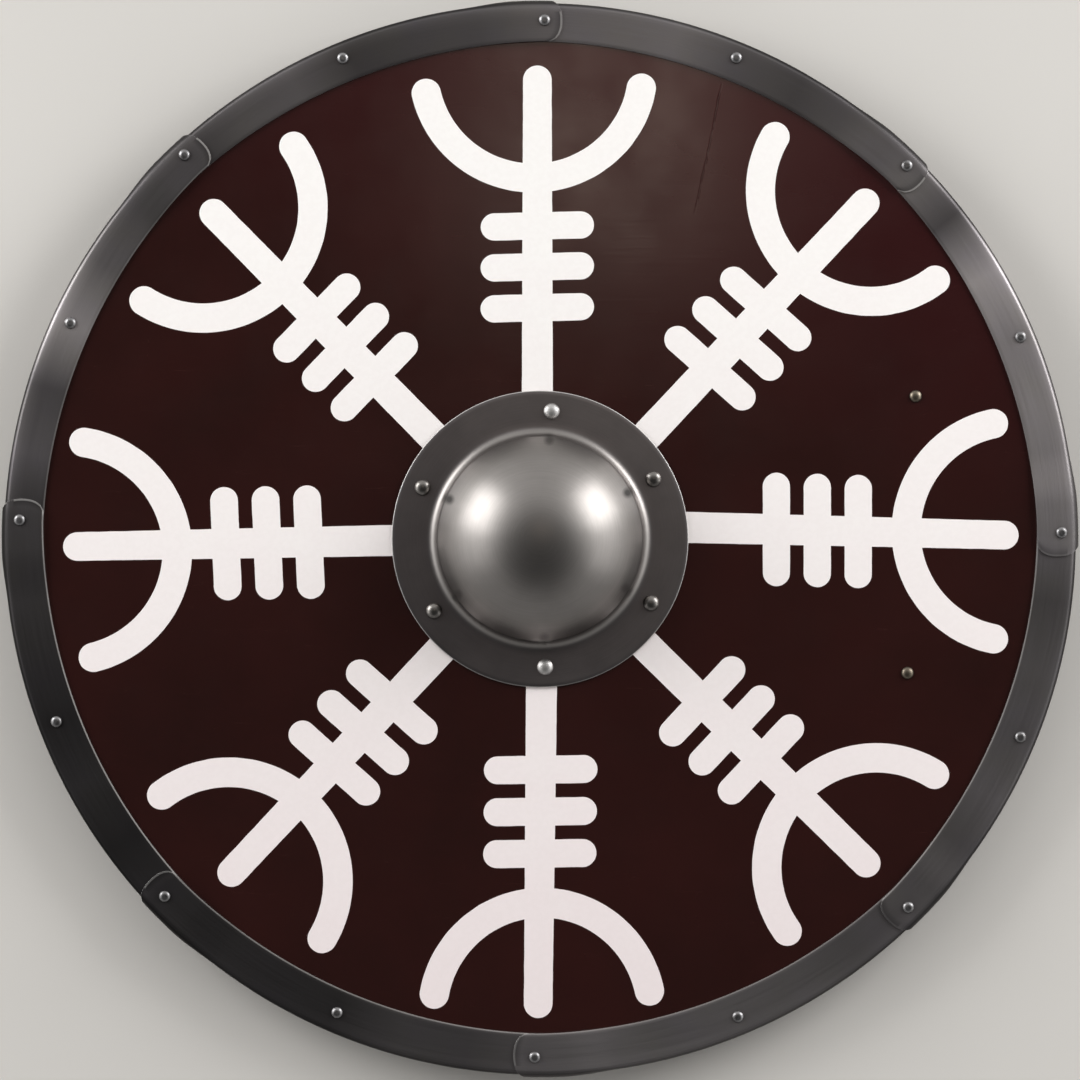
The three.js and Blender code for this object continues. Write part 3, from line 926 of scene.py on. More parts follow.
def arm_mesh(settings):
    """One arm as a thin closed layer of paint: its strokes joined into one outline."""
    points, loops = [], []
    for stroke in arm_strokes(settings):
        loops.append(list(range(len(points), len(points) + len(stroke))))
        points += stroke
    flat, _, faces, _, _, covered = delaunay_2d_cdt(points, [], loops, 0, 1e-7)
    made = bmesh.new()
    hand = [SHAKE * noise.noise(Vector((p.x, p.y, 0)) / SHAKE_SIZE) for p in flat]
    corners = [made.verts.new((p.x + hand[i], p.y + hand[i], 0)) for i, p in enumerate(flat)]
    painted = [made.faces.new([corners[i] for i in face]) for face, inside in zip(faces, covered) if inside]
    bmesh.ops.delete(made, geom=[v for v in made.verts if not v.link_faces], context="VERTS")
    bmesh.ops.recalc_face_normals(made, faces=made.faces)
    if painted[0].normal.z < 0:
        bmesh.ops.reverse_faces(made, faces=made.faces)
    top = bmesh.ops.extrude_face_region(made, geom=made.faces[:], use_keep_orig=True)
    raised = [part for part in top["geom"] if isinstance(part, bmesh.types.BMVert)]
    bmesh.ops.translate(made, vec=(0, 0, settings.coat), verts=raised)
    bmesh.ops.recalc_face_normals(made, faces=made.faces)
    mesh = bpy.data.meshes.new("stave_arm")
    made.to_mesh(mesh)
    made.free()
    return mesh


def stave_tree():
    """Sets the arm at every point, turned by the point's own angle and drawn to its own length."""
    inputs = {
        "Arm places": ("NodeSocketGeometry", None),
        "Arm": ("NodeSocketObject", None),
        "Paint": ("NodeSocketMaterial", None),
    }
    outputs = {"Stave": "NodeSocketGeometry"}
    tree, given, result = group_tree("Stave arms", inputs, outputs, "GeometryNodeTree")
    arm = add(tree, "GeometryNodeObjectInfo", {"Object": given["Arm"]}).outputs["Geometry"]
    spin = combine(tree, 0.0, 0.0, point_value(tree, "turn"))
    reach = combine(tree, point_value(tree, "drawn"), 1.0, 1.0)
    places = add(tree, "GeometryNodeMeshToPoints", {"Mesh": given["Arm places"]}).outputs[0]
    arms = set_on_points(tree, places, arm, Rotation=spin, Scale=reach)
    real_with(tree, arms, given["Paint"], result["Stave"])
    return tree


def point_value(tree, name):
    """A number that the points of a Geometry Nodes tree carry."""
    inputs = {"Name": name}
    return add(tree, "GeometryNodeInputNamedAttribute", inputs, data_type="FLOAT").outputs["Attribute"]


def set_on_points(tree, points, part, **inputs):
    """Sets a part on every point."""
    inputs = {"Points": points, "Instance": part, **inputs}
    return add(tree, "GeometryNodeInstanceOnPoints", inputs).outputs[0]


def real_with(tree, instances, material, result):
    """Ends a tree: makes its instances real, and gives them their material."""
    real = add(tree, "GeometryNodeRealizeInstances", {0: instances}).outputs[0]
    finished = add(tree, "GeometryNodeSetMaterial", {"Geometry": real, "Material": material})
    tree.links.new(finished.outputs[0], result)


def run_nodes(made, tree, values):
    """Puts a Geometry Nodes modifier on an object, with its inputs set by the sockets' identifiers."""
    modifier = made.modifiers.new(tree.name, "NODES")
    modifier.node_group = tree
    for socket in tree.interface.items_tree:
        if socket.in_out == "INPUT" and socket.name in values:
            modifier[socket.identifier] = values[socket.name]
    made.update_tag()
    return bake_down(made)


def points_object(name, places, **attributes):
    """An object of loose points with number attributes."""
    made = new_object(name, places, [])
    for attribute_name, values in attributes.items():
        give_points(made, attribute_name, "FLOAT", values)
    return made


class SHIELD_OT_stave(bpy.types.Operator):
    """Paint the white eight-armed stave"""

    bl_idname = "shield.stave"
    bl_label = "Painted stave"

    def execute(self, context):
        settings = context.scene.shield_stave
        arm = bpy.data.objects.new("stave_arm", arm_mesh(settings))
        context.scene.collection.objects.link(arm)
        places, turns = [], []
        sunk = 0.01 * MM
        height = board_high.z + context.scene.shield_board.coat / 2 - sunk
        for index, (lean, aside, out, _) in enumerate(ARM_PLACES):
            turn = math.radians(90 - 360 / len(ARM_PLACES) * index)
            away = Vector((math.cos(turn), math.sin(turn)))
            clockwise = Vector((math.sin(turn), -math.cos(turn)))
            place = MM * (out * away + aside * clockwise)
            places.append((*place, height))
            turns.append(turn - math.radians(lean))
        drawn = [share_drawn for *_, share_drawn in ARM_PLACES]
        made = points_object("painted_stave", places, turn=turns, drawn=drawn)
        run_nodes(made, stave_tree(), {"Arm": arm, "Paint": white_paint(settings)})
        bpy.data.objects.remove(arm)
        finish_piece(made, "painted_wood")
        return {"FINISHED"}


# ---- Rim ----

SHEET_CIRCLE = 294 * MM  # the circle along which a strip's own length is measured

# How bright each strip's steel is, from its own lap to the next, at even steps: its own tone with painted
# light and shade, lighter where lamps reflect and darker on the lower left.
STRIP_TONES_AND_LIGHT = [
    (0.7, 0.85, 0.95, 0.9, 1.3, 0.3, 0.7),
    (0.5, 0.35, 0.25, 0.35, 0.6, 0.55, 0.5),
    (0.45, 0.3, 0.25, 0.2, 0.4, 0.35, 0.2),
    (0.3, 0.3, 0.45, 1.05, 0.3, 0.4, 0.15),
    (0.25, 0.2, 0.15, 0.1, 0.15, 0.1, 0.15),
    (0.15, 0.15, 0.15, 0.15, 0.3, 0.3, 0.45),
    (0.55, 0.65, 0.55, 0.55, 0.5, 0.4, 0.4),
    (0.45, 0.35, 0.5, 0.4, 0.4, 0.3, 0.5),
]

# How much brighter each strip is round its outer edge, from wear and painted light.
STRIP_WEAR_AND_LIGHT = [0.15, 0.05, 0.35, 0.45, 0.0, 0.2, 0.25, 0.15]

# How bright the painted highlight is on each strip's round end, and on its front inner edge.
END_GLINT = [0.15, 0.75, 0.55, 0.75, 0.65, 0.4, 0.4, 0.1]
EDGE_GLINT = [0.1, 0.0, 0.0, 0.3, 0.9, 0.55, 0.4, 0.7]


def polar_points(node):
    """The radius, angle and height of each of a node's points."""
    points = np.array([v.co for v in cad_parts[node].data.vertices])
    return np.hypot(points[:, 0], points[:, 1]), np.arctan2(points[:, 1], points[:, 0]), points[:, 2]


def turned_from(turn, start):
    """How far an angle is past another, from half a turn back to half a turn on."""
    return (turn - start + math.pi) % (2 * math.pi) - math.pi


def inner_edge(node, turn):
    """The radius of a strip's front inner edge at an angle round the shield."""
    radii, turns, heights = polar_points(node)
    here = np.abs(turned_from(turns, turn)) < math.radians(0.4)
    return radii[here & (heights > board_high.z)].min()


class RimStrip:
    """One folded strip, in its own angles: anticlockwise from its own lap rivet."""

    def __init__(self, number, settings):
        self.number = number
        self.settings = settings
        self.node = f"rim_strip_{number}"
        self.lap = turn_of(centre(rim_rivet(2 * number - 1)))
        next_lap = turn_of(centre(rim_rivet(2 * (number % STRIPS) + 1)))
        self.span = (next_lap - self.lap) % (2 * math.pi)
        self.edge = inner_edge(self.node, self.lap)
        self.next_edge = inner_edge(self.node, next_lap)
        radii, turns, _ = polar_points(self.node)
        own = turned_from(turns, self.lap)
        self.tip = -(radii * np.sin(own)).min()
        self.start = own.max()
        around = [centre(rim_rivet(n)) for n in (2 * number - 1, 2 * number, 2 * (number % STRIPS) + 1)]
        self.rivets = [(turned_from(turn_of(c), self.lap), c.to_2d().length) for c in around]

    def lift(self, turn):
        """How far the strip stands out, to clear the strip under it."""
        settings = self.settings
        most = rim_outside - settings.seat - settings.sheet - FIT_GAP
        return most * smooth_step((settings.lift_fades - turn) / (settings.lift_fades - settings.lift_ends))

    def front_edge(self, turn):
        along = min(max(turn / self.span, 0.0), 1.0)
        bow = self.settings.edge_bow * (1 - (2 * along - 1) ** 2)
        return self.edge + (self.next_edge - self.edge) * along - bow

    def hand_work(self, turn, radius, front):
        """How far the sheet is out of flat at a place on a flange."""
        settings = self.settings
        wave_along, wave_across, full_wave, dent_reach = 34 * MM, 26 * MM, 20 * MM, 4.2 * MM
        inwards = min(max((settings.seat - radius) / full_wave, 0.0), 1.0)
        side = 9.0 * self.number + (0 if front else 4)
        spot = Vector((turn * SHEET_CIRCLE / wave_along, radius / wave_across, side))
        wave = settings.wave * noise.noise(spot) * inwards
        dents = 0.0
        for rivet_turn, rivet_radius in self.rivets:
            off = math.hypot((turn - rivet_turn) * radius, radius - rivet_radius)
            dents += settings.dent * math.exp(-((off / dent_reach) ** 2))
        return wave - dents

    def tone(self, turn, radius):
        """The steel's tone at a place: the strip's own with its painted light and shade, brighter round the
        outer edge from wear and painted light, and darker round the bend with painted shade.
        """
        tones = STRIP_TONES_AND_LIGHT[self.number - 1]
        along = min(max(turn / self.span, 0.0), 1.0) * (len(tones) - 1)
        own = float(np.interp(along, range(len(tones)), tones))
        worn_width, shade_width = 9 * MM, 2 * MM
        past_seat = radius - self.settings.seat
        # Wear and painted light brighten the outer edge; painted shade darkens the bend.
        worn_and_lit = smooth_step((past_seat + worn_width) / worn_width)
        round_bend = smooth_step((past_seat + self.settings.bend) / shade_width)
        return own * (1 + STRIP_WEAR_AND_LIGHT[self.number - 1] * worn_and_lit) * (1 - self.settings.bend_shade * round_bend)

    def section(self, turn, distance):
        """The sheet's section at a distance from the board, as (radius, height from the board's middle)."""
        settings = self.settings
        half = board_thickness / 2
        bend_radius, bend_height = settings.seat - settings.bend, half - settings.bend
        reach = settings.bend + distance + self.lift(turn)
        front = np.linspace(self.front_edge(turn), bend_radius, 10)
        back = np.linspace(bend_radius, settings.back_flange, 7)
        path = [(r, half - settings.bend + reach + self.hand_work(turn, r, True)) for r in front[:-1]]
        path += arc(bend_radius, bend_height, reach, 90, 0, 6)
        path += arc(bend_radius, -bend_height, reach, 0, -90, 6)
        path += [(r, -(half - settings.bend + reach + self.hand_work(turn, r, False))) for r in back[1:]]
        return path

    def end_of(self, radius):
        """The angle of the strip's round end at a radius."""
        margin, power = self.settings.tip_margin, self.settings.tip_squareness
        inner, outer = self.edge - margin, rim_outside + margin
        off_middle = min(abs(radius - (inner + outer) / 2) / ((outer - inner) / 2), 1.0)
        run = self.tip - self.settings.tip_depth * (1 - (1 - off_middle**power) ** (1 / power))
        return -math.asin(run / radius)

    def stations(self):
        """The strip's steps: angles of its body, then shares of the way on to its round end."""
        body_stations, end_stations, before_end = 118, 9, 1.2 * MM
        body_end = -math.asin((self.tip - self.settings.tip_depth - before_end) / rim_outside)
        body = [(turn, 0.0) for turn in np.linspace(self.start, body_end, body_stations)]
        steps = range(1, end_stations + 1)
        return body + [(body_end, math.sin(math.pi / 2 * step / end_stations)) for step in steps]

    def build(self, material, cut):
        """The strip, whose points carry their place on the sheet, their tone, and how far they are off its
        round end and its front inner edge."""
        settings = self.settings
        points, places, tones, edges = [], [], [], []
        stations = self.stations()
        for turn, onward in stations:
            for distance in (FIT_GAP, FIT_GAP + settings.sheet):
                run, before = 0.0, None
                for radius, height in self.section(turn, distance):
                    end = self.end_of(radius)
                    own = turn + (end - turn) * onward
                    spot = self.lap + own
                    pressed = math.copysign(settings.press * smooth_step(onward * 1.6 - 0.6), height)
                    z = board_middle + height - pressed
                    points.append((radius * math.cos(spot), radius * math.sin(spot), z))
                    if before is not None:
                        run += math.dist(before, (radius, height))
                    before = (radius, height)
                    places.append((own * SHEET_CIRCLE, run, float(self.number)))
                    tones.append((*[self.tone(own, radius)] * 3, 1.0))
                    on_front = height > 0 and radius < settings.seat - settings.bend
                    off_end = (own - end) * radius if on_front else settings.seat
                    edges.append((off_end, run, 0.0))
        faces = sweep_faces(len(stations), len(points) // (2 * len(stations)))
        made = new_object(self.node, points, faces, material)
        burnish = (END_GLINT[self.number - 1], EDGE_GLINT[self.number - 1], 0.0)
        give_points(made, "sheet_place", "FLOAT_VECTOR", places)
        give_points(made, "tone", "FLOAT_COLOR", tones)
        give_points(made, "edge", "FLOAT_VECTOR", edges)
        give_points(made, "burnish", "FLOAT_VECTOR", [burnish] * len(points))
        recalculate(made)
        return bake_down(round_edges(made, settings.cut_round, sharp=50, finish=cut), 35)


def sweep_faces(stations, width):
    """Faces of a bent sheet whose every station holds its inner points and then its outer points."""
    faces = []
    ring = list(range(width)) + list(range(2 * width - 1, width - 1, -1))
    for step in range(stations - 1):
        here, there = step * 2 * width, (step + 1) * 2 * width
        for low, high in zip(ring, ring[1:] + ring[:1]):
            faces.append((here + low, here + high, there + high, there + low))
    for base in (0, (stations - 1) * 2 * width):
        faces += [(base + i, base + i + 1, base + width + i + 1, base + width + i) for i in range(width - 1)]
    return faces


def recalculate(made):
    """Turns every face outwards."""
    shape = bmesh.new()
    shape.from_mesh(made.data)
    bmesh.ops.recalc_face_normals(shape, faces=shape.faces)
    shape.to_mesh(made.data)
    shape.free()


class SHIELD_OT_rim(bpy.types.Operator):
    """Make the eight folded strips of sheet steel"""

    bl_idname = "shield.rim"
    bl_label = "Rim strips"

    def execute(self, context):
        settings = context.scene.shield_rim
        tones, marks = (settings.dark, settings.light), (0.02, 0.06 * MM)
        toned = strip_tone(settings)
        sheet = steel("rim_sheet_steel", tones, (0.36, 0.46), sheet_streaks, marks, tone=toned)
        cut = cut_steel(settings)
        for number in range(1, STRIPS + 1):
            strip = RimStrip(number, settings)
            finish_piece(strip.build(sheet, cut), "rim_steel", strip.node)
        return {"FINISHED"}


# ---- Boss ----

# How dark the painted reflection of each boss rivet is on the dome's foot, how far in from the collar its
# middle is, and how far it stays dark and reaches.
RIVET_REFLECTIONS = [0.5, 0.75, 0.3, 0.4, 0.3, 0.75]
MARK_IN, MARK_DARK, MARK_REACH = 2.5 * MM, 1.2 * MM, 3.6 * MM


class SHIELD_OT_boss(bpy.types.Operator):
    """Make the raised sheet-steel boss"""

    bl_idname = "shield.boss"
    bl_label = "Boss"

    @staticmethod
    def raised_part(settings, inset):
        """The collar's top, the shoulder and the dome, as (radius, height), up to the crown."""
        shoulder, crown = settings.shoulder - inset, settings.crown - inset
        shoulder_middle = settings.collar - settings.shoulder
        crown_middle = boss_high.z - settings.crown
        between_middles = settings.crown - settings.shoulder
        shoulder_height = crown_middle + math.sqrt(between_middles**2 - shoulder_middle**2)
        turn = math.degrees(math.acos(shoulder_middle / between_middles))
        outline = arc(shoulder_middle, shoulder_height, shoulder, 0, turn, 8)
        outline += arc(0, crown_middle, crown, turn, 90, 36)[1:-1]
        return outline + [(0, crown_middle + crown)]

    @staticmethod
    def painted_rivet_reflections(tree, collar):
        """Painted reflections of the rivets: dark marks at the dome's foot beside each rivet."""
        x, y, _ = parts(tree, object_place(tree))
        here = combine(tree, x, y, 0.0)
        mask = 0.0
        for number, dark in enumerate(RIVET_REFLECTIONS, 1):
            turn = turn_of(centre(f"boss_rivet_{number}"))
            middle = (collar - MARK_IN) * Vector((math.cos(turn), math.sin(turn), 0))
            away = vector_math(tree, "DISTANCE", "Value", here, middle)
            mark = between(tree, away, MARK_DARK, MARK_REACH, dark, 0.0)
            mask = calculate(tree, "MAXIMUM", mask, mark)
        return mask

    def execute(self, context):
        settings = context.scene.shield_boss
        sheet, fillet, collar = settings.sheet, settings.fillet, settings.collar
        low = boss_low.z
        flange = np.linspace(boss_high.x, collar + fillet, 9)

        def face(inset):
            """One face of the sheet, from the flange's edge up to the crown; inset is 0 outside."""
            height = low + sheet - inset
            outline = [(radius, height) for radius in flange[:-1]]
            outline += arc(collar + fillet, low + sheet + fillet, fillet + inset, -90, -180, 10)
            outline += self.raised_part(settings, inset)
            return outline

        def planish(point):
            """The shallow marks of raising: the sheet goes in a little here and there."""
            depth = settings.planish * (0.5 + 0.5 * noise.noise(point / (16 * MM)))
            outwards = Vector((point.x, point.y, 0)) / max(point.to_2d().length, collar / 4)
            on_dome = smooth_step((collar + fillet - point.to_2d().length) / (2 * fillet))
            return point - depth * on_dome * (outwards + Vector((0, 0, 1))).normalized()

        def toned(tree, base):
            """The steel as it is on the dome, with painted shade round its foot and painted reflections of
            the rivets, and in another tone on the flange, with painted shade towards the lower left.
            """
            distance = off_axis(tree)
            x, y, _ = parts(tree, object_place(tree))
            # Painted shade round the dome's foot, darker towards the bottom.
            foot = between(tree, distance, collar - 8 * MM, collar - 4 * MM)
            inside = between(tree, distance, collar - 0.5 * MM, collar + 0.5 * MM, 1.0, 0.0)
            shade_low_down = between(tree, y, -0.2 * collar, 0.3 * collar, settings.foot_shade, 0.0)
            base = tint(tree, base, BLACK, times(tree, foot, inside), shade_low_down)
            # Painted reflections of the rivets at the dome's foot.
            base = blend(tree, self.painted_rivet_reflections(tree, collar), base, BLACK)
            # Painted shade: the flange darker towards the lower left and lighter towards the upper right,
            # with random oiled clouds over it.
            up_right = calculate(tree, "MULTIPLY_ADD", y, 0.57, x)
            oiled = between(tree, up_right, -boss_high.x, boss_high.x, 0.35, -0.1)
            clouds = mottle(tree, object_place(tree), 0.018, contrast=0.3)
            oiled = calculate(tree, "MULTIPLY_ADD", clouds, 0.3, oiled)
            flange_tone = blend(tree, oiled, settings.flange_tone, settings.flange_oil_and_shade)
            on_flange = between(tree, distance, collar + fillet / 2, collar + fillet)
            kept = blend(tree, on_flange, settings.dome_tone, flange_tone)
            return blend(tree, 1.0, base, kept, "MULTIPLY")

        tones, marks = (settings.dark, settings.light), (0.016, 0.05 * MM)
        finish = steel("boss_sheet_steel", tones, (0.33, 0.39), turned_streaks, marks, tone=toned)
        made = turned_shape("boss", face(0) + face(sheet)[::-1], settings.sides, finish, planish)
        recalculate(made)
        cut = cut_steel(context.scene.shield_rim)
        bake_down(round_edges(made, context.scene.shield_rim.cut_round, sharp=60, finish=cut), 35)
        finish_piece(made, "boss_steel", "boss")
        return {"FINISHED"}


# ---- Rivets ----


def shaped_head(tree, radius, height, dimple, segments):
    """A domed head on z = 0: half an ellipsoid over a flat underside, with a shallow dimple in its crown."""
    size = {"Segments": segments, "Rings": segments // 2, "Radius": 1.0}
    ball = add(tree, "GeometryNodeMeshUVSphere", size).outputs[0]
    x, y, z = parts(tree, add(tree, "GeometryNodeInputPosition").outputs[0])
    off_middle = vector_math(tree, "LENGTH", "Value", combine(tree, x, y, 0.0))
    hollow = times(tree, between(tree, off_middle, 0.0, 0.5, 1.0, 0.0), dimple)
    rise = times(tree, calculate(tree, "MAXIMUM", z, 0.0), height)
    dented = times(tree, hollow, calculate(tree, "GREATER_THAN", z, 0.0))
    top = calculate(tree, "SUBTRACT", rise, dented)
    place = combine(tree, times(tree, x, radius), times(tree, y, radius), top)
    return add(tree, "GeometryNodeSetPosition", {"Geometry": ball, "Position": place}).outputs[0]


def rivet_tree():
    """Sets a rivet at every point, where its head seats; grip_length is how far down its tail seats."""
    inputs = {
        "Head seats": ("NodeSocketGeometry", None),
        "Head radius": ("NodeSocketFloat", 3.3 * MM),
        "Head height": ("NodeSocketFloat", 1.9 * MM),
        "Dimple": ("NodeSocketFloat", 0.0),
        "Tail radius": ("NodeSocketFloat", 3.6 * MM),
        "Tail height": ("NodeSocketFloat", 1.4 * MM),
        "Shank radius": ("NodeSocketFloat", 2.4 * MM),
        "Lean": ("NodeSocketFloat", 0.04),
        "Seed": ("NodeSocketInt", 3),
        "Steel": ("NodeSocketMaterial", None),
    }
    outputs = {"Rivets": "NodeSocketGeometry"}
    tree, given, result = group_tree("Rivets", inputs, outputs, "GeometryNodeTree")
    seats = add(tree, "GeometryNodeMeshToPoints", {"Mesh": given["Head seats"]}).outputs[0]
    grip = point_value(tree, "grip_length")

    head = shaped_head(tree, given["Head radius"], given["Head height"], given["Dimple"], 28)
    other_way = times(tree, given["Lean"], -1.0)
    least = combine(tree, other_way, other_way, 0.0)
    most = combine(tree, given["Lean"], given["Lean"], 2 * math.pi)
    limits = {0: least, 1: most, "Seed": given["Seed"]}
    lean = add(tree, "FunctionNodeRandomValue", limits, data_type="FLOAT_VECTOR").outputs[0]
    heads = set_on_points(tree, seats, head, Rotation=lean)

    rod = {"Vertices": 16, "Radius": given["Shank radius"], "Depth": 1.0}
    shank = add(tree, "GeometryNodeMeshCylinder", rod).outputs[0]
    hung = add(tree, "GeometryNodeTransform", {"Geometry": shank, "Translation": (0, 0, -0.5)}).outputs[0]
    shanks = set_on_points(tree, seats, hung, Scale=combine(tree, 1.0, 1.0, grip))

    tail = shaped_head(tree, given["Tail radius"], given["Tail height"], 0.0, 24)
    down = combine(tree, 0.0, 0.0, times(tree, grip, -1.0))
    tail_seats = add(tree, "GeometryNodeSetPosition", {"Geometry": seats, "Offset": down}).outputs[0]
    tails = set_on_points(tree, tail_seats, tail, Rotation=(math.pi, 0, 0))

    joined = add(tree, "GeometryNodeJoinGeometry")
    for made in (heads, shanks, tails):
        tree.links.new(made, joined.inputs[0])
    real_with(tree, joined.outputs[0], given["Steel"], result["Rivets"])
    return tree


def rivet_finish(name, tone, roughness):
    """Drawn rivet steel, lightly hammered and spotted."""
    tones, marks = (darker(tone, 0.6), tone), (0.004, 0.04 * MM)
    return steel(name, tones, roughness, drawn_streaks, marks, spots=0.4)


def set_rivets(tree, piece, slot, nodes, settings, kind, material, dimple, seed):
    """Sets the rivets that stand for the nodes, with the sizes of their kind: rim, boss or strap."""
    head_height = getattr(settings, f"{kind}_head_height")
    tail_height = getattr(settings, f"{kind}_tail_height")
    seats, grips = [], []
    for node in nodes:
        low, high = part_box(node)
        middle = centre(node)
        seat = high.z - head_height
        seats.append((middle.x, middle.y, seat))
        grips.append(seat - low.z - tail_height)
    made = points_object(piece, seats, grip_length=grips)
    values = {
        "Head radius": getattr(settings, f"{kind}_head"),
        "Head height": head_height,
        "Dimple": dimple,
        "Tail radius": getattr(settings, f"{kind}_tail"),
        "Tail height": tail_height,
        "Shank radius": settings.shank,
        "Lean": settings.lean,
        "Seed": seed,
        "Steel": material,
    }
    run_nodes(made, tree, values)
    finish_piece(made, slot, *nodes)


class SHIELD_OT_rivets(bpy.types.Operator):
    """Set the rivets of the rim, the boss and the strap"""

    bl_idname = "shield.rivets"
    bl_label = "Rivets"

    def execute(self, context):
        settings = context.scene.shield_rivets
        tree = rivet_tree()
        bright = rivet_finish("bright_rivet_steel", settings.bright, (0.4, 0.5))
        dark = rivet_finish("dark_rivet_steel", settings.dark, (0.24, 0.34))
        rim = rivet_finish("rim_rivet_steel", settings.rim, (0.3, 0.4))
        strap = rivet_finish("strap_rivet_steel", settings.strap, (0.32, 0.42))
        on_rim = [rim_rivet(n) for n in range(1, 2 * STRIPS + 1)]
        polished = [f"boss_rivet_{n}" for n in (1, 4)]
        oiled = [f"boss_rivet_{n}" for n in (2, 3, 5, 6)]
        on_strap = [f"strap_rivet_{n}" for n in (1, 2)]
        for piece, slot, nodes, kind, material, dimple, seed in (
            ("rim_rivets", "rim_steel", on_rim, "rim", rim, settings.dimple, 3),
            ("boss_rivets_bright", "bright_rivet_steel", polished, "boss", bright, 0.0, 5),
            ("boss_rivets_dark", "dark_rivet_steel", oiled, "boss", dark, 0.0, 8),
            ("strap_rivets", "dark_rivet_steel", on_strap, "strap", strap, 0.0, 11),
        ):
            set_rivets(tree, piece, slot, nodes, settings, kind, material, dimple, seed)
        return {"FINISHED"}


# ---- Grip and strap ----


def bar(name, ends, size, drop, material, edge):
    """A flat bar with round ends between two rivets, one above the other. size is its length, width and
    thickness; drop gives how far its top is below the board at a distance along it, and edge is how far its
    edges are rounded."""
    straight_stations, end_steps, columns = 91, 14, 12
    edge_width = 6 * MM
    whole, width, thickness = size
    top, bottom = ends
    middle = (top + bottom) / 2
    lean = turn_of(top - bottom) - math.pi / 2
    side = width / 2
    straight = whole / 2 - side
    round_end = [straight + side * math.sin(math.pi / 2 * step / end_steps) for step in range(1, end_steps)]
    along = [-y for y in reversed(round_end)]
    along += list(np.linspace(-straight, straight, straight_stations)) + round_end
    points, near_edge = [], []
    for y in along:
        past = max(abs(y) - straight, 0.0)
        reach = math.sqrt(max(side**2 - past**2, 0.0))
        for face in (0, 1):
            for column in range(columns + 1):
                x = reach * math.sin(math.pi / 2 * (2 * column / columns - 1))
                z = board_low.z - FIT_GAP - drop(abs(y)) - face * thickness
                points.append(Vector((x, y, z)))
                near_edge.append(1 - min((reach - abs(x)) / edge_width, 1.0))
    faces = sweep_faces(len(along), columns + 1)
    turn = Matrix.Rotation(lean, 4, "Z")
    shift = Vector((middle.x, middle.y, 0))
    made = new_object(name, [turn @ p + shift for p in points], faces, material)
    give_points(made, "near_edge", "FLOAT", near_edge)
    recalculate(made)
    return bake_down(round_edges(made, edge, sharp=50, segments=3), 40)


class SHIELD_OT_grip(bpy.types.Operator):
    """Make the flat steel grip across the hand hole"""

    bl_idname = "shield.grip"
    bl_label = "Grip"

    def execute(self, context):
        settings = context.scene.shield_bars
        hand = settings.grip_hand / 2

        def drop(along):
            return settings.grip_step * smooth_step((hand + settings.grip_bend - along) / settings.grip_bend)

        tones, marks = (darker(settings.grip_steel, 0.4), settings.grip_steel), (0.007, 0.2 * MM)
        finish = steel("forged_grip_steel", tones, (0.42, 0.62), drawn_streaks, marks, spots=0.3)
        ends = [centre("boss_rivet_1").to_2d(), centre("boss_rivet_4").to_2d()]
        size = (settings.grip_length, settings.grip_width, settings.grip_thickness)
        made = bar("grip", ends, size, drop, finish, settings.grip_round)
        finish_piece(made, "grip_steel", "grip")
        return {"FINISHED"}


class SHIELD_OT_strap(bpy.types.Operator):
    """Make the leather forearm strap"""

    bl_idname = "shield.strap"
    bl_label = "Forearm strap"

    def execute(self, context):
        settings = context.scene.shield_bars
        ends = [centre("strap_rivet_1").to_2d(), centre("strap_rivet_2").to_2d()]
        rivet_span = (ends[0] - ends[1]).length
        slope_start, slope_end = settings.strap_flat / 2, rivet_span / 2 - settings.strap_landing
        deepest = board_low.z - FIT_GAP - settings.strap_thickness - strap_low.z

        def drop(along):
            part = min(max((along - slope_start) / (slope_end - slope_start), 0.0), 1.0)
            return deepest * (1 + math.cos(math.pi * part)) / 2

        size = (rivet_span + 2 * settings.strap_end, settings.strap_width, settings.strap_thickness)
        made = bar("forearm_strap", ends, size, drop, oiled_leather(settings), settings.strap_round)
        finish_piece(made, "strap_leather", "forearm_strap")
        return {"FINISHED"}


# ---- Stage ----

WALL_LIGHT = (0.4, 0.92)  # the strength of the walls' light, below and above the shield
CEILING_LIGHT = 0.045
CEILING_MIDDLE = (0, -0.208, 0.978)  # the way to the darkest part of the ceiling
WALLS_END, CEILING_STARTS = 0.66, 0.876  # how near that way the walls end and the ceiling starts, as cosines

# The softboxes round the shield: their turn from +X in degrees, and their power in watts.
SOFTBOXES = {
    "left softbox": (153, 28.5),
    "right softbox": (31, 32),
    "low left softbox": (186, 5),
    "low right softbox": (-8, 5),
}
SOFTBOX_AWAY, SOFTBOX_RISE, SOFTBOX_SIZE = 2.2, math.radians(24), 1.2

# The small warm light beside the camera: its place across and up, where it looks to, its size and its power.
OVERHEAD_PLACE, OVERHEAD_AIM = (0.075, 0.47), (0.075, 0.25)
OVERHEAD_SIZE, OVERHEAD_POWER, OVERHEAD_TINT = (0.25, 0.26), 0.48, (1, 0.84, 0.7)


def softbox(name, place, aim, size, power):
    """A soft rectangular light at a place, which faces another."""
    data = bpy.data.lights.new(name, "AREA")
    data.shape = "RECTANGLE"
    data.size, data.size_y = size
    data.energy = power
    made = bpy.data.objects.new(name, data)
    made.location = place
    made.rotation_euler = (Vector(aim) - Vector(place)).to_track_quat("-Z", "Y").to_euler()
    made.visible_camera = False
    bpy.context.scene.collection.objects.link(made)
    return made


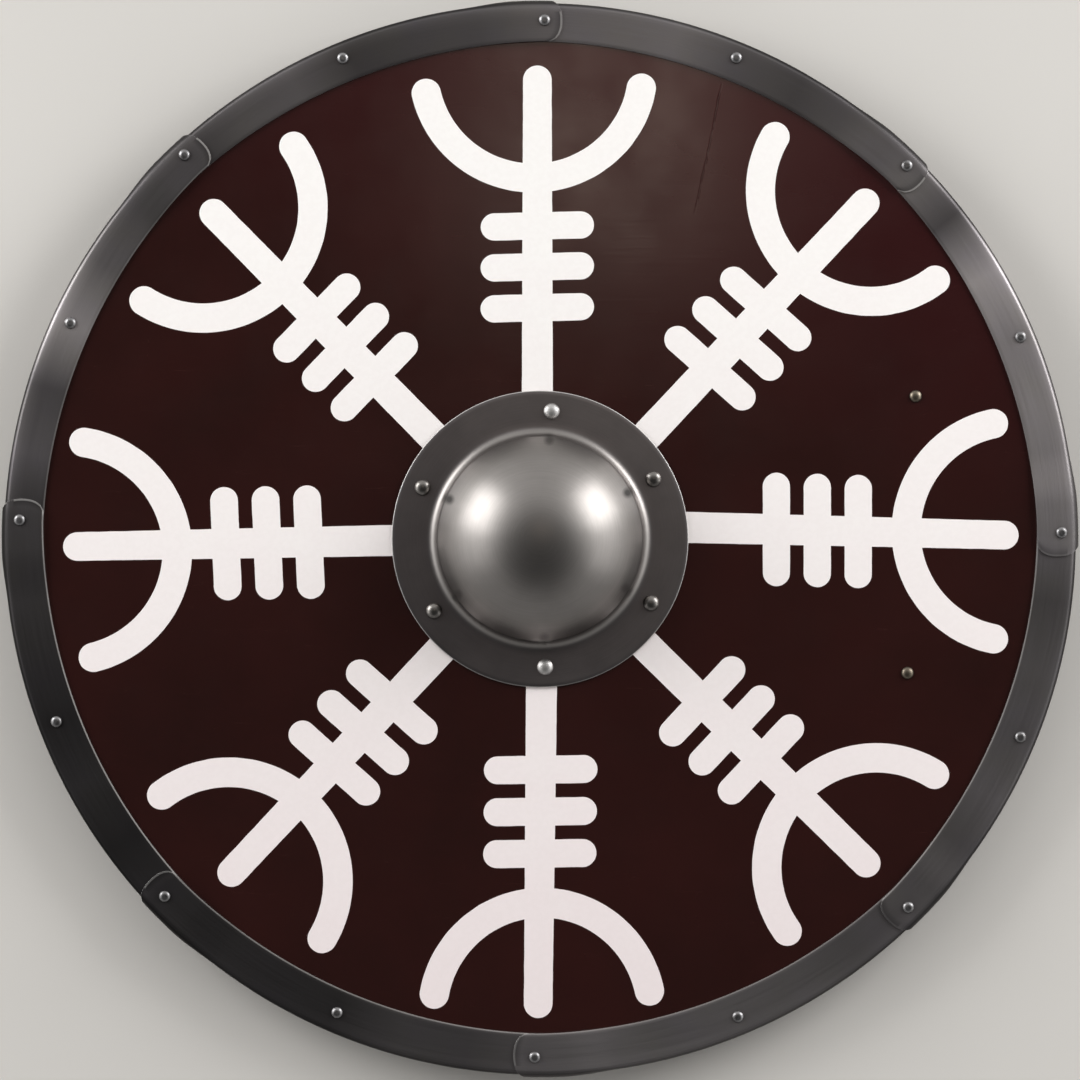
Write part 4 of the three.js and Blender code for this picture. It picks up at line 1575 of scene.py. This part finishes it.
def studio_walls():
    """A dim ceiling over paler walls, and plain pale surroundings for the camera."""
    world = bpy.data.worlds.new("studio")
    world.use_nodes = True
    tree = world.node_tree
    tree.nodes.clear()
    way = add(tree, "ShaderNodeTexCoord").outputs["Generated"]
    _, y, _ = parts(tree, way)
    off_ceiling = vector_math(tree, "DOT_PRODUCT", "Value", way, CEILING_MIDDLE)
    walls = between(tree, y, -0.9, 0.9, *WALL_LIGHT)
    strength = between(tree, off_ceiling, WALLS_END, CEILING_STARTS, walls, CEILING_LIGHT)
    lighting = add(tree, "ShaderNodeBackground", {"Color": (1, 0.99, 0.98, 1), "Strength": strength})
    seen = add(tree, "ShaderNodeBackground", {"Color": (0.78, 0.77, 0.75, 1), "Strength": 1.0})
    camera = add(tree, "ShaderNodeLightPath").outputs["Is Camera Ray"]
    mixed = add(tree, "ShaderNodeMixShader", {0: camera, 1: lighting.outputs[0], 2: seen.outputs[0]})
    output = add(tree, "ShaderNodeOutputWorld")
    tree.links.new(mixed.outputs[0], output.inputs[0])
    bpy.context.scene.world = world


class SHIELD_OT_stage(bpy.types.Operator):
    """Lay the floor, and set the lights and the camera"""

    bl_idname = "shield.stage"
    bl_label = "Stage"

    def execute(self, context):
        settings = context.scene.shield_stage
        half = settings.floor_size / 2
        corners = [(-half, -half, 0), (half, -half, 0), (half, half, 0), (-half, half, 0)]
        floor = new_object("floor", corners, [(0, 1, 2, 3)], floor_finish(settings))

        face = board_high.z + 3 * MM  # about level with the rim's laps
        height = face + settings.camera_height
        studio_walls()
        middle = (0, 0, face)
        for name, (degrees, power) in SOFTBOXES.items():
            turn, level = math.radians(degrees), math.cos(SOFTBOX_RISE)
            way = Vector((math.cos(turn) * level, math.sin(turn) * level, math.sin(SOFTBOX_RISE)))
            softbox(name, SOFTBOX_AWAY * way, middle, (SOFTBOX_SIZE, SOFTBOX_SIZE), power)
        place, aim = (*OVERHEAD_PLACE, height), (*OVERHEAD_AIM, face)
        overhead = softbox("overhead softbox", place, aim, OVERHEAD_SIZE, OVERHEAD_POWER)
        overhead.data.color = OVERHEAD_TINT

        data = bpy.data.cameras.new("camera")
        data.sensor_width = 36
        data.lens = data.sensor_width / 2 * settings.camera_height / settings.half_view
        camera = bpy.data.objects.new("camera", data)
        camera.location = (0, -settings.camera_shift, height)
        context.scene.collection.objects.link(camera)
        context.scene.camera = camera
        context.scene.view_settings.view_transform = "Standard"
        return {"FINISHED"}


# ---- The add-on ----

OPERATORS = (
    SHIELD_OT_board,
    SHIELD_OT_painted_face,
    SHIELD_OT_stave,
    SHIELD_OT_rim,
    SHIELD_OT_boss,
    SHIELD_OT_rivets,
    SHIELD_OT_grip,
    SHIELD_OT_strap,
    SHIELD_OT_stage,
)


class SHIELD_PT_pieces(bpy.types.Panel):
    """Lists the shield's pieces and their sizes"""

    bl_label = "Round shield"
    bl_idname = "SHIELD_PT_pieces"
    bl_space_type = "VIEW_3D"
    bl_region_type = "UI"
    bl_category = "Shield"

    def draw(self, context):
        for operator in OPERATORS:
            self.layout.operator(operator.bl_idname)
        for name, group in SETTINGS.items():
            box = self.layout.box()
            box.label(text=group.__name__.replace("Settings", ""))
            for entry in group.__annotations__:
                box.prop(getattr(context.scene, name), entry)


def register():
    for made in (*SETTINGS.values(), *OPERATORS, SHIELD_PT_pieces):
        bpy.utils.register_class(made)
    for name, group in SETTINGS.items():
        setattr(bpy.types.Scene, name, bpy.props.PointerProperty(type=group))


def unregister():
    for name in SETTINGS:
        delattr(bpy.types.Scene, name)
    for made in (SHIELD_PT_pieces, *reversed(OPERATORS), *SETTINGS.values()):
        bpy.utils.unregister_class(made)


def main():
    register()
    for operator in OPERATORS:
        family, name = operator.bl_idname.split(".")
        getattr(getattr(bpy.ops, family), name)()


if __name__ == "__main__":
    main()
